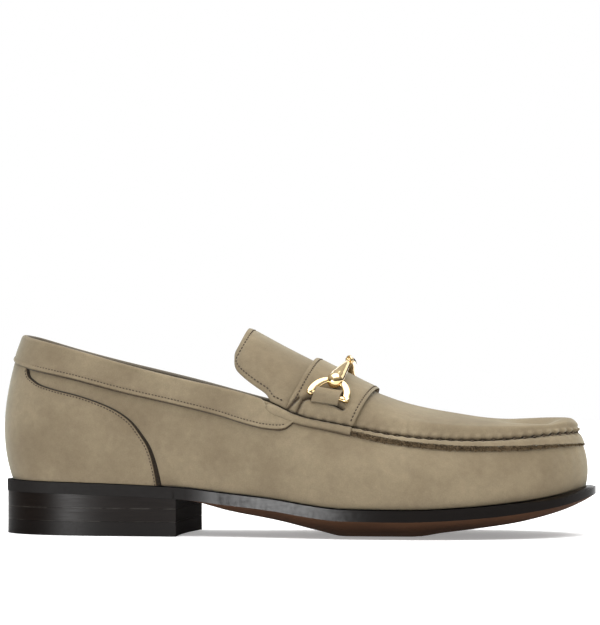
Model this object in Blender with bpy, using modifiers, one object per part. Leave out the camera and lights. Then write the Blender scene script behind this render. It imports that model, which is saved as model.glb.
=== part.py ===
"""Bit loafer, right shoe, built at its real size.

A moccasin loafer of taupe nubuck on a leather sole with a stacked block heel. A raised apron closes the
top of the toe, a tongue stands up over the instep, and a saddle strap across them carries a metal bit.

The tables are in millimetres. X runs from the heel to the toe, Y towards the wearer's left, which is the
inner side of this right shoe, and Z up from the floor. The origin is the middle of the box's floor.
"""

import math

import bmesh
import bpy
import numpy as np
from mathutils import Matrix, Vector

MM = 0.001
GAP = 0.3

# Driving sizes
SOLE_THICKNESS = 5.7
SOLE_SHELF = 0.86
SOLE_DISH = 0.5
BELLY_POWER = 2.2
UPPER_WALL = 2.0
TONGUE_WALL = 2.0
STRAP_THICKNESS = 2.4
BAND_THICKNESS = 1.5
COUNTER_THICKNESS = 1.1
ROLL_THICKNESS = 1.5
INSOLE_THICKNESS = 3.0
INSOLE_CLEARANCE = 1.0
LIFT_HEIGHT, LIFT_FRONT_X, LIFT_SLOPE_LENGTH = 10.0, 165.0, 110.0
HEEL_LAYER_HEIGHTS = (7.2, 14.0)
HEEL_BREAST_OUTER, HEEL_BREAST_INNER, HEEL_BREAST_HOLLOW = 91.0, 94.0, 2.0
HEEL_INSET = 0.4

# Where things lie along the shoe, as X from the back of the heel
COLLAR_FRONT_X = 139.5
THROAT_X = 160.0
STRAP_BACK_X, STRAP_FRONT_X = 147.0, 181.0
BAND_FRONT_X = 150.2

# Sampling of the faceted solids
COLUMNS_A_SIDE = 34
WALL_ROWS = 7
HOOP_SPANS = 14
OUTSOLE_GRID, INSOLE_GRID, HEEL_GRID = (40, 8), (26, 8), (14, 4)
TONGUE_COLUMNS = 12
STRAP_GRID = (7, 20)
ROLL_COLUMNS, STRIP_COLUMNS = 40, 8
BAND_ROWS, COUNTER_ROWS = 3, 6
SIDE_SAMPLES = 400
SHARP_ANGLE = 40.0

TAUPE = (0.30, 0.24, 0.15)
DARK_BROWN = (0.025, 0.018, 0.014)
GOLD = (0.85, 0.62, 0.30)
LINING_GREY = (0.16, 0.14, 0.11)


def table(columns, *rows):
    """The rows of a table as one array for each named column."""
    return {name: np.array([row[i] for row in rows], float) for i, name in enumerate(columns.split())}


# The last, taken round the edge of the sole: along the outer side to the toe and back along the inner side.
# x and y are the sole's edge, welt its reach past the upper, top the height of the collar or apron seam,
# inset how far that line stands inside the foot of the wall, and low_out and high_out the wall's swell.
LAST = table(
    "x y welt top inset low_out high_out",
    (-1.6, 0, 4.2, 100.4, 5.0, 8.8, 2.5),
    (8.2, -20.4, 2.8, 99.2, 4.9, 7.5, 2.5),
    (30, -31.5, 2.0, 95.2, 4.8, 5.5, 2.0),
    (62, -34.5, 2.0, 87.0, 3.2, 4.5, 1.5),
    (100, -36, 2.0, 77.9, 1.5, 4.0, 2.0),
    (135, -41, 2.2, 69.2, 2.0, 4.5, 2.0),
    (140, -42, 2.2, 67.2, 2.9, 4.6, 2.1),
    (148, -43.8, 2.3, 63.1, 4.7, 4.7, 2.2),
    (165, -47.5, 2.4, 58.3, 9.0, 5.0, 2.5),
    (195, -51.5, 2.6, 52.5, 13.0, 5.0, 2.0),
    (225, -50, 2.8, 49.6, 13.0, 4.5, 2.0),
    (255, -41.5, 3.2, 49.2, 10.5, 4.0, 2.0),
    (280, -27, 4.2, 51.0, 7.0, 3.2, 1.5),
    (294.2, -8.5, 5.0, 52.1, 4.4, 2.6, 1.0),
    (299.2, 7, 5.2, 52.3, 3.8, 2.5, 1.0),
    (294.7, 22, 5.0, 52.1, 4.6, 2.6, 1.0),
    (281, 37, 4.2, 51.0, 7.0, 3.2, 1.5),
    (255, 47, 3.2, 49.3, 10.5, 4.0, 2.0),
    (222, 50.5, 2.8, 50.0, 13.0, 4.5, 2.0),
    (190, 46, 2.6, 54.2, 12.0, 5.0, 2.0),
    (160, 37, 2.4, 60.9, 6.0, 5.0, 2.5),
    (130, 31, 2.2, 67.4, 0.0, 4.5, 3.0),
    (95, 30, 2.0, 76.8, 0.5, 4.0, 2.5),
    (60, 32, 2.0, 85.2, 3.0, 4.5, 1.5),
    (30, 30, 2.0, 92.7, 4.8, 5.5, 2.0),
    (8.2, 20.4, 2.8, 98.5, 4.9, 7.5, 2.5),
)
TOE_ROW = 14

# The sole's underside: the height of its edge and of its middle. Below zero the middle is worn flat.
SOLE = table(
    "x edge middle",
    (-2, 21.6, 21.6),
    (45, 20.8, 20.8),
    (92, 18.9, 18.0),
    (115, 16.4, 11.9),
    (140, 13.8, 7.2),
    (160, 10.8, 2.4),
    (176, 9.2, -0.9),
    (208, 8.9, -0.9),
    (222, 9.3, 1.2),
    (245, 10.7, 4.2),
    (260, 12.2, 6.6),
    (281, 15.5, 12.2),
    (293, 18.6, 17.4),
    (299.2, 21.2, 21.2),
)

# The ridge of the tongue and apron, seen from the side
CREST = table(
    "x z",
    (118, 108.0),
    (124, 105.0),
    (141.8, 95.4),
    (158, 87.3),
    (170, 81.3),
    (182.7, 74.9),
    (190.3, 71.4),
    (206.6, 66.2),
    (219, 63.5),
    (231, 61.5),
    (243, 59.6),
    (255, 58.1),
    (268, 57.6),
)

# The apron, as hoops from seam to ridge: where each stands on the seam and on the ridge, how steeply it
# leaves the seam (rise, leaning by slope), how flat it is across the top (reach, crown), and how far it
# fans out round the toe.
APRON = table(
    "seam_x ridge_x rise slope reach crown fan",
    (139.5, 150.5, 13.0, 28, 0.62, 0.0, 0.0),
    (164.0, 173.5, 12.0, 25, 0.60, 0.0, 0.0),
    (181.0, 188.5, 11.0, 22, 0.58, 0.0, 0.0),
    (208.0, 213.0, 7.8, 13, 0.74, -2.2, 0.0),
    (241.0, 240.0, 7.8, 6, 0.82, -1.0, 0.3),
    (268.0, 258.0, 9.8, 2, 0.86, 1.2, 0.8),
    (292.0, 268.0, 12.0, 0, 0.86, 1.9, 1.0),
)

# The free part of the tongue: its side edge, the ridge above it, and the same steepness and flatness
TONGUE = table(
    "edge_x half_width edge_z ridge_x rise slope reach",
    (136.5, 30.8, 71.6, 147.0, 12.6, 28, 0.62),
    (131.0, 30.0, 75.4, 141.0, 12.0, 28, 0.62),
    (124.5, 27.0, 80.0, 133.5, 11.5, 28, 0.62),
    (119.8, 23.2, 84.6, 128.0, 10.0, 28, 0.62),
    (118.0, 18.0, 90.0, 124.2, 7.0, 28, 0.62),
)

# The lower edge of the collar band and the curved front edge of the heel counter, seen from the side
BAND_EDGE = table(
    "x z",
    (0, 88.4),
    (11, 85.6),
    (36, 79.6),
    (64, 72.5),
    (90, 66.9),
    (114, 61.3),
    (127, 57.5),
    (138.5, 55.0),
    (145, 54.5),
    (148.3, 55.1),
    (150.2, 56.4),
)
COUNTER_EDGE = table(
    "x z",
    (13.2, 84.5),
    (14.4, 80.4),
    (17.0, 78.2),
    (20.0, 76.4),
    (28.0, 74.0),
    (41, 70.9),
    (51.6, 67.5),
    (59.8, 64.0),
    (68.0, 58.6),
    (74.0, 51.6),
    (78.3, 45.1),
    (81.0, 37.8),
    (82.6, 31.2),
    (83.8, 22.0),
)


# Curves through the tables


def closed_curve(columns):
    """A smooth closed curve through a table, as a function of the share of the way round, and its knots."""
    ring = np.stack([columns["x"], columns["y"]], 1)
    steps = np.linalg.norm(np.roll(ring, -1, 0) - ring, axis=1)
    spans = steps / steps.sum()
    knots = np.concatenate([[0.0], np.cumsum(spans)])
    count = len(spans)
    matrix = np.zeros((count, count))
    for i in range(count):
        matrix[i, i - 1] += spans[i - 1]
        matrix[i, i] += 2 * (spans[i - 1] + spans[i])
        matrix[i, (i + 1) % count] += spans[i]
    pieces = {}
    for name, values in columns.items():
        slopes = (np.roll(values, -1) - values) / spans
        pieces[name] = values, slopes, np.linalg.solve(matrix, 6 * (slopes - np.roll(slopes, 1)))

    def at(share):
        share = share % 1.0
        i = min(int(np.searchsorted(knots, share, "right")) - 1, count - 1)
        t, span = share - knots[i], spans[i]
        found = {}
        for name, (values, slopes, bends) in pieces.items():
            here, there = bends[i], bends[(i + 1) % count]
            first = slopes[i] - span * (2 * here + there) / 6
            found[name] = values[i] + t * (first + t * (here / 2 + t * (there - here) / (6 * span)))
        return found

    return at, knots


def curve_through(places, values):
    """A smooth curve through values at rising places that never overshoots them."""
    steps = np.diff(places)
    slopes = np.diff(values) / steps
    tangents = np.concatenate([[slopes[0]], np.zeros(len(slopes) - 1), [slopes[-1]]])
    for i in range(1, len(slopes)):
        if slopes[i - 1] * slopes[i] > 0:
            tangents[i] = 2 * slopes[i - 1] * slopes[i] / (slopes[i - 1] + slopes[i])

    def at(place):
        place = float(np.clip(place, places[0], places[-1]))
        i = int(np.clip(np.searchsorted(places, place, "right") - 1, 0, len(steps) - 1))
        t, step = (place - places[i]) / steps[i], steps[i]
        start = values[i] * (1 + 2 * t) + tangents[i] * step * t
        end = values[i + 1] * (3 - 2 * t) - tangents[i + 1] * step * (1 - t)
        return start * (1 - t) ** 2 + end * t**2

    return at


last_at, LAST_KNOTS = closed_curve(LAST)
TOE_SHARE = LAST_KNOTS[TOE_ROW]
sole_edge_z = curve_through(SOLE["x"], SOLE["edge"])
sole_middle_z = curve_through(SOLE["x"], SOLE["middle"])
crest_z = curve_through(CREST["x"], CREST["z"])


# The sole's two faces


def round_share(along, inner):
    """Where along, from 0 at the heel to 1 at the toe, lies on the way round, on the outer or inner side."""
    return 1.0 - along * (1.0 - TOE_SHARE) if inner else along * TOE_SHARE


def outline(share, inside=0.0):
    """A point of the sole's edge, moved inside it along its own normal."""
    here, ahead = last_at(share), last_at(share + 1e-4)
    tangent = Vector((ahead["x"] - here["x"], ahead["y"] - here["y"])).normalized()
    return Vector((here["x"], here["y"])) + Vector((-tangent.y, tangent.x)) * inside


def across_at(point):
    """How far a plan point lies from the sole's middle line, as a share of the half width there."""
    outer, inner = (side_y(point.x, side) for side in (False, True))
    return min(1.0, abs(2 * point.y - outer - inner) / max(inner - outer, 1e-6))


def side_samples(inner):
    shares = [round_share(i / SIDE_SAMPLES, inner) for i in range(SIDE_SAMPLES + 1)]
    points = np.array([tuple(outline(share)) for share in shares])
    order = np.argsort(points[:, 0])
    return points[order, 0], points[order, 1]


SIDES = {inner: side_samples(inner) for inner in (False, True)}


def side_y(x, inner):
    return float(np.interp(x, *SIDES[inner]))


def sole_bottom(x, across):
    middle = sole_middle_z(x)
    return max(0.0, middle + (sole_edge_z(x) - middle) * across**BELLY_POWER)


def sole_top(x, across):
    """The sole's upper face: a shelf round the edge for the upper, and a shallow dish inside it."""
    depth = SOLE_DISH * (sole_edge_z(x) - max(0.0, sole_middle_z(x)))
    t = min(1.0, across / SOLE_SHELF)
    return sole_edge_z(x) + SOLE_THICKNESS - depth * (1 - t * t * (3 - 2 * t))


# The wall of the upper, from the sole up to the collar and the apron seam


def wall(share, up):
    """A point of the wall's outer face: share of the way round, and up from 0 at the sole to 1 at the top."""
    row = last_at(share)
    foot = outline(share, row["welt"])
    foot_z = sole_top(foot.x, across_at(foot)) + GAP
    down = 1.0 - up
    swell = 3 * down * down * up * row["low_out"] + 3 * down * up * up * row["high_out"]
    place = outline(share, row["welt"] - swell + up**3 * row["inset"])
    return Vector((place.x, place.y, foot_z + (row["top"] - foot_z) * up))


SEAM_X = [wall(round_share(i / SIDE_SAMPLES, False), 1.0).x for i in range(SIDE_SAMPLES + 1)]


def along_at_seam(x):
    """How far along the outer side the top of the wall stands at x."""
    return float(np.interp(x, SEAM_X, np.linspace(0, 1, SIDE_SAMPLES + 1)))


def along_of(share):
    """How far along the shoe a place on the way round lies, on either side."""
    share = share % 1.0
    return share / TOE_SHARE if share <= TOE_SHARE else (1.0 - share) / (1.0 - TOE_SHARE)


def up_at_height(share, z):
    """How far up the wall a height lies, as its share from 0 to 1."""
    foot, top = wall(share, 0.0).z, wall(share, 1.0).z
    return (z - foot) / (top - foot)


band_edge_z = curve_through([along_at_seam(x) for x in BAND_EDGE["x"]], BAND_EDGE["z"])


# The apron and tongue, as hoops over the foot

APRON_ALONG = [along_at_seam(x) for x in APRON["seam_x"][:-1]] + [1.0]
apron_at = {name: curve_through(APRON_ALONG, values) for name, values in APRON.items()}


def hoop_frame(edges, ridge, rise, slope, reach, crown, fan):
    """The seven control points of a hoop from one edge over the ridge to the other."""
    up = Vector((math.sin(math.radians(slope)), 0, math.cos(math.radians(slope)))) * rise
    halves = []
    for edge in edges:
        flat = Vector(((edge.x - ridge.x) * fan, edge.y - ridge.y, 0)) * reach
        halves.append([edge, edge + up, ridge + flat + Vector((0, 0, crown))])
    return [*halves[0], ridge, *reversed(halves[1])]


def apron_frame(along):
    """The hoop that stands on the seam this far along the shoe."""
    edges = [wall(round_share(along, inner), 1.0) for inner in (False, True)]
    shape = {name: at(along) for name, at in apron_at.items()}
    x = shape["ridge_x"]
    ridge = Vector((x, (edges[0].y + edges[1].y) / 2, crest_z(x)))
    names = ("rise", "slope", "reach", "crown", "fan")
    return hoop_frame(edges, ridge, *(shape[name] for name in names))


COLLAR_FRONT = along_at_seam(COLLAR_FRONT_X)
THROAT = along_at_seam(THROAT_X)
TONGUE_MIDDLE_Y = apron_frame(COLLAR_FRONT)[3].y
SEWN_HOOPS, SEWN_SAMPLES = 4, 21


def tongue_frames():
    """Hoops from the throat back to the tongue's end, each with its place on the ridge."""
    frames = [apron_frame(along) for along in np.linspace(THROAT, COLLAR_FRONT, SEWN_HOOPS)]
    for i in range(len(TONGUE["edge_x"])):
        row = {name: values[i] for name, values in TONGUE.items()}
        sides = (-row["half_width"], row["half_width"])
        edges = [Vector((row["edge_x"], TONGUE_MIDDLE_Y + side, row["edge_z"])) for side in sides]
        ridge = Vector((row["ridge_x"], TONGUE_MIDDLE_Y, crest_z(row["ridge_x"])))
        frames.append(hoop_frame(edges, ridge, row["rise"], row["slope"], row["reach"], 0.0, 0.0))
    return frames


def tongue_loft():
    frames = tongue_frames()
    places = [-frame[3].x for frame in frames]
    curves = [[curve_through(places, [frame[i][k] for frame in frames]) for k in range(3)] for i in range(7)]
    return lambda ridge_x: [Vector([at(-ridge_x) for at in point]) for point in curves]


free_tongue_frame = tongue_loft()
SEWN_ALONG = np.linspace(COLLAR_FRONT, THROAT, SEWN_SAMPLES)
SEWN_RIDGE_X = [apron_frame(along)[3].x for along in SEWN_ALONG]


def tongue_frame(ridge_x):
    """The tongue's hoop at a place on the ridge: along the seam first, then free of it."""
    if ridge_x < SEWN_RIDGE_X[0]:
        return free_tongue_frame(ridge_x)
    return apron_frame(float(np.interp(ridge_x, SEWN_RIDGE_X, SEWN_ALONG)))


TONGUE_RIDGE = (apron_frame(THROAT)[3].x, TONGUE["ridge_x"][-1])


def hoop_point(frame, across):
    """A point of a hoop, from -1 at the outer edge over 0 at the ridge to 1 at the inner edge."""
    points = frame[:4] if across < 0 else frame[:2:-1]
    t = 1.0 - abs(across)
    weights = ((1 - t) ** 3, 3 * t * (1 - t) ** 2, 3 * t * t * (1 - t), t**3)
    return sum((point * weight for point, weight in zip(points, weights)), Vector())


def apron(along, across):
    return hoop_point(apron_frame(along), across)


NORMAL_STEP = 0.002
WALL_MARGIN = 0.004


def raised(surface, u, v, height):
    """A point this far off a surface, along its normal."""
    along_u = surface(u + NORMAL_STEP, v) - surface(u - NORMAL_STEP, v)
    along_v = surface(u, v + NORMAL_STEP) - surface(u, v - NORMAL_STEP)
    return surface(u, v) + along_u.cross(along_v).normalized() * height


def off_wall(share, up, height):
    return raised(wall, share, min(max(up, WALL_MARGIN), 1.0 - WALL_MARGIN), height)


def off_apron(along, across, height):
    return raised(apron, along, across, height)


# Making objects


def material(name, colour, roughness, metallic=0.0):
    made = bpy.data.materials.new(name)
    made.use_nodes = True
    shader = made.node_tree.nodes["Principled BSDF"]
    shader.inputs["Base Color"].default_value = (*colour, 1.0)
    shader.inputs["Roughness"].default_value = roughness
    shader.inputs["Metallic"].default_value = metallic
    return made


def add_object(name, mesh, finish, collection="bit_loafer"):
    made = bpy.data.objects.new(name, mesh)
    bpy.data.collections[collection].objects.link(made)
    if finish:
        mesh.materials.append(finish)
        made.parent = bpy.data.objects["shoe_frame"]
    else:
        made.hide_render = True
        made.display_type = "WIRE"
    return made


def mesh_from(bm, name):
    """A bmesh as a mesh in metres, smooth but for its real edges."""
    bmesh.ops.scale(bm, vec=Vector((MM, MM, MM)), verts=bm.verts)
    mesh = bpy.data.meshes.new(name)
    bm.to_mesh(mesh)
    bm.free()
    mesh.shade_smooth()
    mesh.set_sharp_from_angle(angle=math.radians(SHARP_ANGLE))
    return mesh


def grid(columns, rows, place):
    """A sheet of columns by rows of faces, each corner placed by its two shares from 0 to 1."""
    bm = bmesh.new()
    bmesh.ops.create_grid(bm, x_segments=columns, y_segments=rows, size=0.5)
    for vert in bm.verts:
        vert.co = place(vert.co.x + 0.5, vert.co.y + 0.5)
    bmesh.ops.remove_doubles(bm, verts=bm.verts, dist=1e-3)
    return bm


def face_outwards(bm, outward):
    """Turns a sheet so that its normals follow outward, a function of a face's middle."""
    bmesh.ops.recalc_face_normals(bm, faces=bm.faces)
    agree = sum(face.normal.dot(outward(face.calc_center_median())) for face in bm.faces)
    if agree < 0:
        bmesh.ops.reverse_faces(bm, faces=bm.faces)


# A line low inside the foot that every outer face looks away from
AXIS_SHRINK, AXIS_SHIFT, AXIS_Z = 0.9, 14.0, 40.0


def from_axis(point):
    """Outwards from the line inside the foot."""
    return point - Vector((point.x * AXIS_SHRINK + AXIS_SHIFT, TONGUE_MIDDLE_Y, AXIS_Z))


def thicken(made, thickness, inwards):
    shell = made.modifiers.new("wall", "SOLIDIFY")
    shell.thickness = thickness * MM
    shell.offset = -1.0 if inwards else 1.0
    shell.use_even_offset = True
    return made


def overlay(name, columns, rows, place, thickness, finish):
    """A layer of leather over the upper: a sheet laid just off its face, thickened outwards."""
    bm = grid(columns, rows, place)
    face_outwards(bm, from_axis)
    return thicken(add_object(name, mesh_from(bm, name), finish), thickness, inwards=False)


def cutter_from_outline(name, points, half_width):
    """A prism across the shoe with the side outline given by (x, z) points."""
    bm = bmesh.new()
    corners = [bm.verts.new((x, -half_width, z)) for x, z in points]
    face = bm.faces.new(corners)
    swept = bmesh.ops.extrude_face_region(bm, geom=[face])["geom"]
    moved = [item for item in swept if isinstance(item, bmesh.types.BMVert)]
    bmesh.ops.translate(bm, verts=moved, vec=(0, 2 * half_width, 0))
    bmesh.ops.recalc_face_normals(bm, faces=bm.faces)
    return add_object(name, mesh_from(bm, name), None, "cutters")


def cut(made, cutter, operation):
    boolean = made.modifiers.new(operation.lower(), "BOOLEAN")
    boolean.operation = operation
    boolean.object = cutter
    return made


def mesh_of(made):
    """A curve's evaluated shape as a mesh with its caps welded, in place of the curve."""
    bpy.context.view_layer.update()
    graph = bpy.context.evaluated_depsgraph_get()
    mesh = bpy.data.meshes.new_from_object(made.evaluated_get(graph))
    bm = bmesh.new()
    bm.from_mesh(mesh)
    bmesh.ops.remove_doubles(bm, verts=bm.verts, dist=1e-6)
    bm.to_mesh(mesh)
    bm.free()
    bpy.data.objects.remove(made)
    return mesh


# Sole, heel and insole


def plan_point(along, side, inside, along_end=1.0):
    """A plan point between the two edges of the sole, side from 0 on the outer edge to 1 on the inner."""
    edges = [outline(round_share(along * along_end, inner), inside) for inner in (False, True)]
    return edges[0].lerp(edges[1], side)


def slab(name, spans, plan, low, high, finish):
    """A flat piece with a plan given by two shares, between a low and a high face."""
    bm = grid(*spans, lambda u, v: plan(u, v).to_3d())
    bottom = bm.verts[:]
    swept = bmesh.ops.extrude_face_region(bm, geom=bm.faces[:])["geom"]
    top = [item for item in swept if isinstance(item, bmesh.types.BMVert)]
    for verts, height in ((bottom, low), (top, high)):
        for vert in verts:
            vert.co.z = height(vert.co.xy)
    bmesh.ops.recalc_face_normals(bm, faces=bm.faces)
    return add_object(name, mesh_from(bm, name), finish)


def make_outsole(finish):
    slab(
        "outsole",
        OUTSOLE_GRID,
        lambda u, v: plan_point(u, v, 0.0),
        lambda place: sole_bottom(place.x, across_at(place)),
        lambda place: sole_top(place.x, across_at(place)),
        finish,
    )


HEEL_ALONG = along_at_seam(HEEL_BREAST_OUTER)
BREAST_BLEND = 4


def heel_plan(along, side):
    """The heel's plan: the sole's edge, cut off square by a slightly hollow breast."""
    breast_x = HEEL_BREAST_OUTER + (HEEL_BREAST_INNER - HEEL_BREAST_OUTER) * side
    breast_x -= HEEL_BREAST_HOLLOW * 4 * side * (1 - side)
    back = plan_point(along, side, HEEL_INSET, HEEL_ALONG)
    front = Vector((breast_x, plan_point(1.0, side, HEEL_INSET, HEEL_ALONG).y))
    return back.lerp(front, along**BREAST_BLEND)


def make_heel(leather, rubber):
    low, high = HEEL_LAYER_HEIGHTS
    half_gap = GAP / 2
    layers = (
        ("heel_top_piece", lambda place: 0.0, lambda place: low - half_gap, rubber),
        ("heel_lift_lower", lambda place: low + half_gap, lambda place: high - half_gap, leather),
        (
            "heel_lift_upper",
            lambda place: high + half_gap,
            lambda place: sole_bottom(place.x, across_at(place)) - GAP,
            leather,
        ),
    )
    for name, bottom, top, finish in layers:
        slab(name, HEEL_GRID, heel_plan, bottom, top, finish)


def insole_height(x):
    """The insole's thickness: level under the forefoot, rising to a lift under the heel."""
    t = float(np.clip((LIFT_FRONT_X - x) / LIFT_SLOPE_LENGTH, 0.0, 1.0))
    return INSOLE_THICKNESS + LIFT_HEIGHT * t * t * (3 - 2 * t)


def make_insole(finish):
    def plan(along, side):
        points = []
        for inner in (False, True):
            share = round_share(along, inner)
            points.append(outline(share, last_at(share)["welt"] + UPPER_WALL + INSOLE_CLEARANCE))
        return points[0].lerp(points[1], side)

    slab(
        "insole",
        INSOLE_GRID,
        plan,
        lambda place: sole_top(place.x, across_at(place)) + GAP,
        lambda place: sole_top(place.x, across_at(place)) + GAP + insole_height(place.x),
        finish,
    )


# Upper, tongue and the leather laid over them


def side_columns():
    """The columns of the upper from heel to toe, with one exactly at the throat."""
    behind = round(COLUMNS_A_SIDE * THROAT)
    ahead = COLUMNS_A_SIDE - behind
    return [THROAT * i / behind for i in range(behind)] + [
        THROAT + (1 - THROAT) * i / ahead for i in range(ahead + 1)
    ]


SIDE_COLUMNS = side_columns()
COLUMN_SPARE = 0.004
WELD = 0.02


def shares_round_heel(*ends):
    """The upper's columns round the heel, between the ends given on each side from the front."""
    half = list(ends) + [along for along in reversed(SIDE_COLUMNS) if 0 < along < ends[-1] - COLUMN_SPARE]
    return [round_share(along, False) for along in half] + [
        0.0,
        *(round_share(along, True) - 1.0 for along in reversed(half)),
    ]


def make_upper(finish):
    """The wall right round the foot and the apron over the toe, welded at the seam into one hollow shell."""
    columns = SIDE_COLUMNS
    ring = [round_share(along, False) for along in columns]
    ring += [round_share(along, True) for along in reversed(columns[:-1])]
    bm = grid(len(ring) - 1, WALL_ROWS, lambda u, v: wall(ring[round(u * (len(ring) - 1))], v))
    front = [along for along in columns if along > THROAT - 1e-9]
    last = len(front) - 1
    top = grid(last, HOOP_SPANS, lambda u, v: apron(front[round(u * last)], 2 * v - 1))
    loose = bpy.data.meshes.new("apron_sheet")
    top.to_mesh(loose)
    top.free()
    bm.from_mesh(loose)
    bpy.data.meshes.remove(loose)
    bmesh.ops.remove_doubles(bm, verts=bm.verts, dist=WELD)
    face_outwards(bm, from_axis)
    thicken(add_object("upper", mesh_from(bm, "upper"), finish), UPPER_WALL, inwards=True)


# The tongue's clearance from the seam, as a share of its way up to the ridge, and from the apron
TONGUE_SEAM_CLEARANCE = 0.02
TONGUE_THROAT_CLEARANCE = 0.45


def tongue_point(along, side):
    start, end = TONGUE_RIDGE
    ridge_x = start - TONGUE_THROAT_CLEARANCE + (end - start + TONGUE_THROAT_CLEARANCE) * along
    return hoop_point(tongue_frame(ridge_x), (2 * side - 1) * (1 - TONGUE_SEAM_CLEARANCE))


def make_tongue(finish):
    bm = grid(TONGUE_COLUMNS, HOOP_SPANS, tongue_point)
    face_outwards(bm, from_axis)
    thicken(add_object("tongue", mesh_from(bm, "tongue"), finish), TONGUE_WALL, inwards=True)


# How far the strap stops short of the seam, as a share of its way up to the ridge
STRAP_EDGE_CLEARANCE = 0.05


def make_strap(finish):
    back, front = along_at_seam(STRAP_BACK_X), along_at_seam(STRAP_FRONT_X)

    def place(u, v):
        return off_apron(back + (front - back) * u, (2 * v - 1) * (1 - STRAP_EDGE_CLEARANCE), GAP)

    overlay("saddle_strap", *STRAP_GRID, place, STRAP_THICKNESS, finish)


# The rolled edge of the wall below the apron seam, and the strips that finish it under the strap
ROLL = table("x height", (181, 2.9), (205, 3.8), (235, 4.7), (265, 5.4), (292, 5.7))
STRIP = table("x height", (137.5, 2.6), (147, 5.1), (165, 4.4), (180, 3.9))
SEAM_CLEARANCE = 0.9
ROLL_START_GAP = 0.8
BAND_CLEARANCE, BAND_STEP = 0.7, 0.2
STRIP_ALONG = [along_at_seam(x) for x in (STRIP["x"][0], STRIP["x"][-1])]
roll_height = curve_through([along_at_seam(x) for x in ROLL["x"]], ROLL["height"])
strip_height = curve_through([along_at_seam(x) for x in STRIP["x"]], STRIP["height"])


def seam_layer(name, columns, shares, height_at, finish):
    """A strip of leather on the wall, just under the apron seam."""

    def place(u, v):
        share = shares[0] + (shares[1] - shares[0]) * u
        top_z = wall(share, 1.0).z - SEAM_CLEARANCE
        low_z = top_z - height_at(along_of(share))
        return off_wall(share, up_at_height(share, low_z + (top_z - low_z) * v), GAP)

    overlay(name, columns, 2, place, ROLL_THICKNESS, finish)


def make_seam_layers(finish):
    roll_start = along_at_seam(STRIP["x"][-1] + ROLL_START_GAP)
    ends = [round_share(roll_start, inner) for inner in (False, True)]
    seam_layer("seam_roll", ROLL_COLUMNS, ends, roll_height, finish)
    for side, inner in (("outer", False), ("inner", True)):
        shares = [round_share(along, inner) for along in STRIP_ALONG]
        seam_layer(f"seam_strip_{side}", STRIP_COLUMNS, shares, strip_height, finish)


def make_collar_band(finish):
    """The folded band round the collar, whose front corners run on below the seam strips."""
    corner, behind = along_at_seam(BAND_FRONT_X), along_at_seam(STRIP["x"][0] - BAND_CLEARANCE)
    edge = along_at_seam(STRIP["x"][0] - BAND_CLEARANCE + BAND_STEP)
    shares = shares_round_heel(corner, (corner + edge) / 2, edge, behind)

    def place(u, v):
        share = shares[round(u * (len(shares) - 1))]
        along = along_of(share)
        low = up_at_height(share, band_edge_z(along))
        under_strip = wall(share, 1.0).z - SEAM_CLEARANCE - strip_height(along) - BAND_CLEARANCE
        high = up_at_height(share, under_strip) if along > behind + 1e-6 else 1.0
        return off_wall(share, low + (high - low) * v, GAP)

    overlay("collar_band", len(shares) - 1, BAND_ROWS, place, BAND_THICKNESS, finish)


# The sheet the counter is cut from, and how far its cutter reaches behind, above and beside the shoe
COUNTER_SPARE = 6.0
COUNTER_FOOT = 0.006
CUTTER_BACK_X, CUTTER_TOP_Z, CUTTER_HALF_WIDTH = -20.0, 100.0, 60.0


def make_counter(finish):
    """The heel counter: the back of the wall's outer layer, cut to its curved front edge."""
    shares = shares_round_heel(along_at_seam(COUNTER_EDGE["x"][-1] + COUNTER_SPARE))

    def place(u, v):
        share = shares[round(u * (len(shares) - 1))]
        top = up_at_height(share, band_edge_z(along_of(share)) - BAND_CLEARANCE)
        return off_wall(share, COUNTER_FOOT + (top - COUNTER_FOOT) * v, GAP)

    counter = overlay("heel_counter", len(shares) - 1, COUNTER_ROWS, place, COUNTER_THICKNESS, finish)
    front = list(zip(COUNTER_EDGE["x"], COUNTER_EDGE["z"]))
    (top_x, _), (_, low_z) = front[0], front[-1]
    behind = [(CUTTER_BACK_X, low_z), (CUTTER_BACK_X, CUTTER_TOP_Z), (top_x, CUTTER_TOP_Z)]
    cut(counter, cutter_from_outline("counter_outline", behind + front, CUTTER_HALF_WIDTH), "INTERSECT")


# The metal bit and the leather loops that hold it

BIT_X = 162.6
RING_HALF_WIDTH = 8.9
RING_WIRE_RADIUS = 1.25
RING_BASE_ACROSS, RING_BASE_HEIGHT = 0.725, 2.0
RING_TOP_ACROSS, RING_TOP_HEIGHT = 0.52, 4.8
RING_ARCH_SPANS, RING_ARCH_POWER, RING_BAR_SPANS = 20, 0.8, 6
RING_SIDES = 2
JOINT_ACROSS, JOINT_HEIGHT = -0.05, 7.9
BULB_PROFILE = ((3.9, 0.9), (4.0, -0.4), (3.6, -1.8), (2.9, -3.0), (1.8, -3.9), (0.0, -4.4))
BAR_TIP_RADIUS = 1.1
BAR_TIP_CHAMFER = 0.6
BAR_SIDES = 16
EYE_RADIUS, EYE_WIRE_RADIUS = 2.2, 0.75
EYE_SIDES, EYE_WIRE_SIDES = 16, 8
# How far each eye's middle stands short of the joint, so that the two wires pass through each other
EYE_BACK = 0.55 * EYE_RADIUS
LOOP_HALF_WIDTH, LOOP_REACH, LOOP_RISE = 5.6, 3.6, 3.5
LOOP_THICKNESS = 1.3
LOOP_GRID = (4, 10)
NUDGE = 0.01


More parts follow.
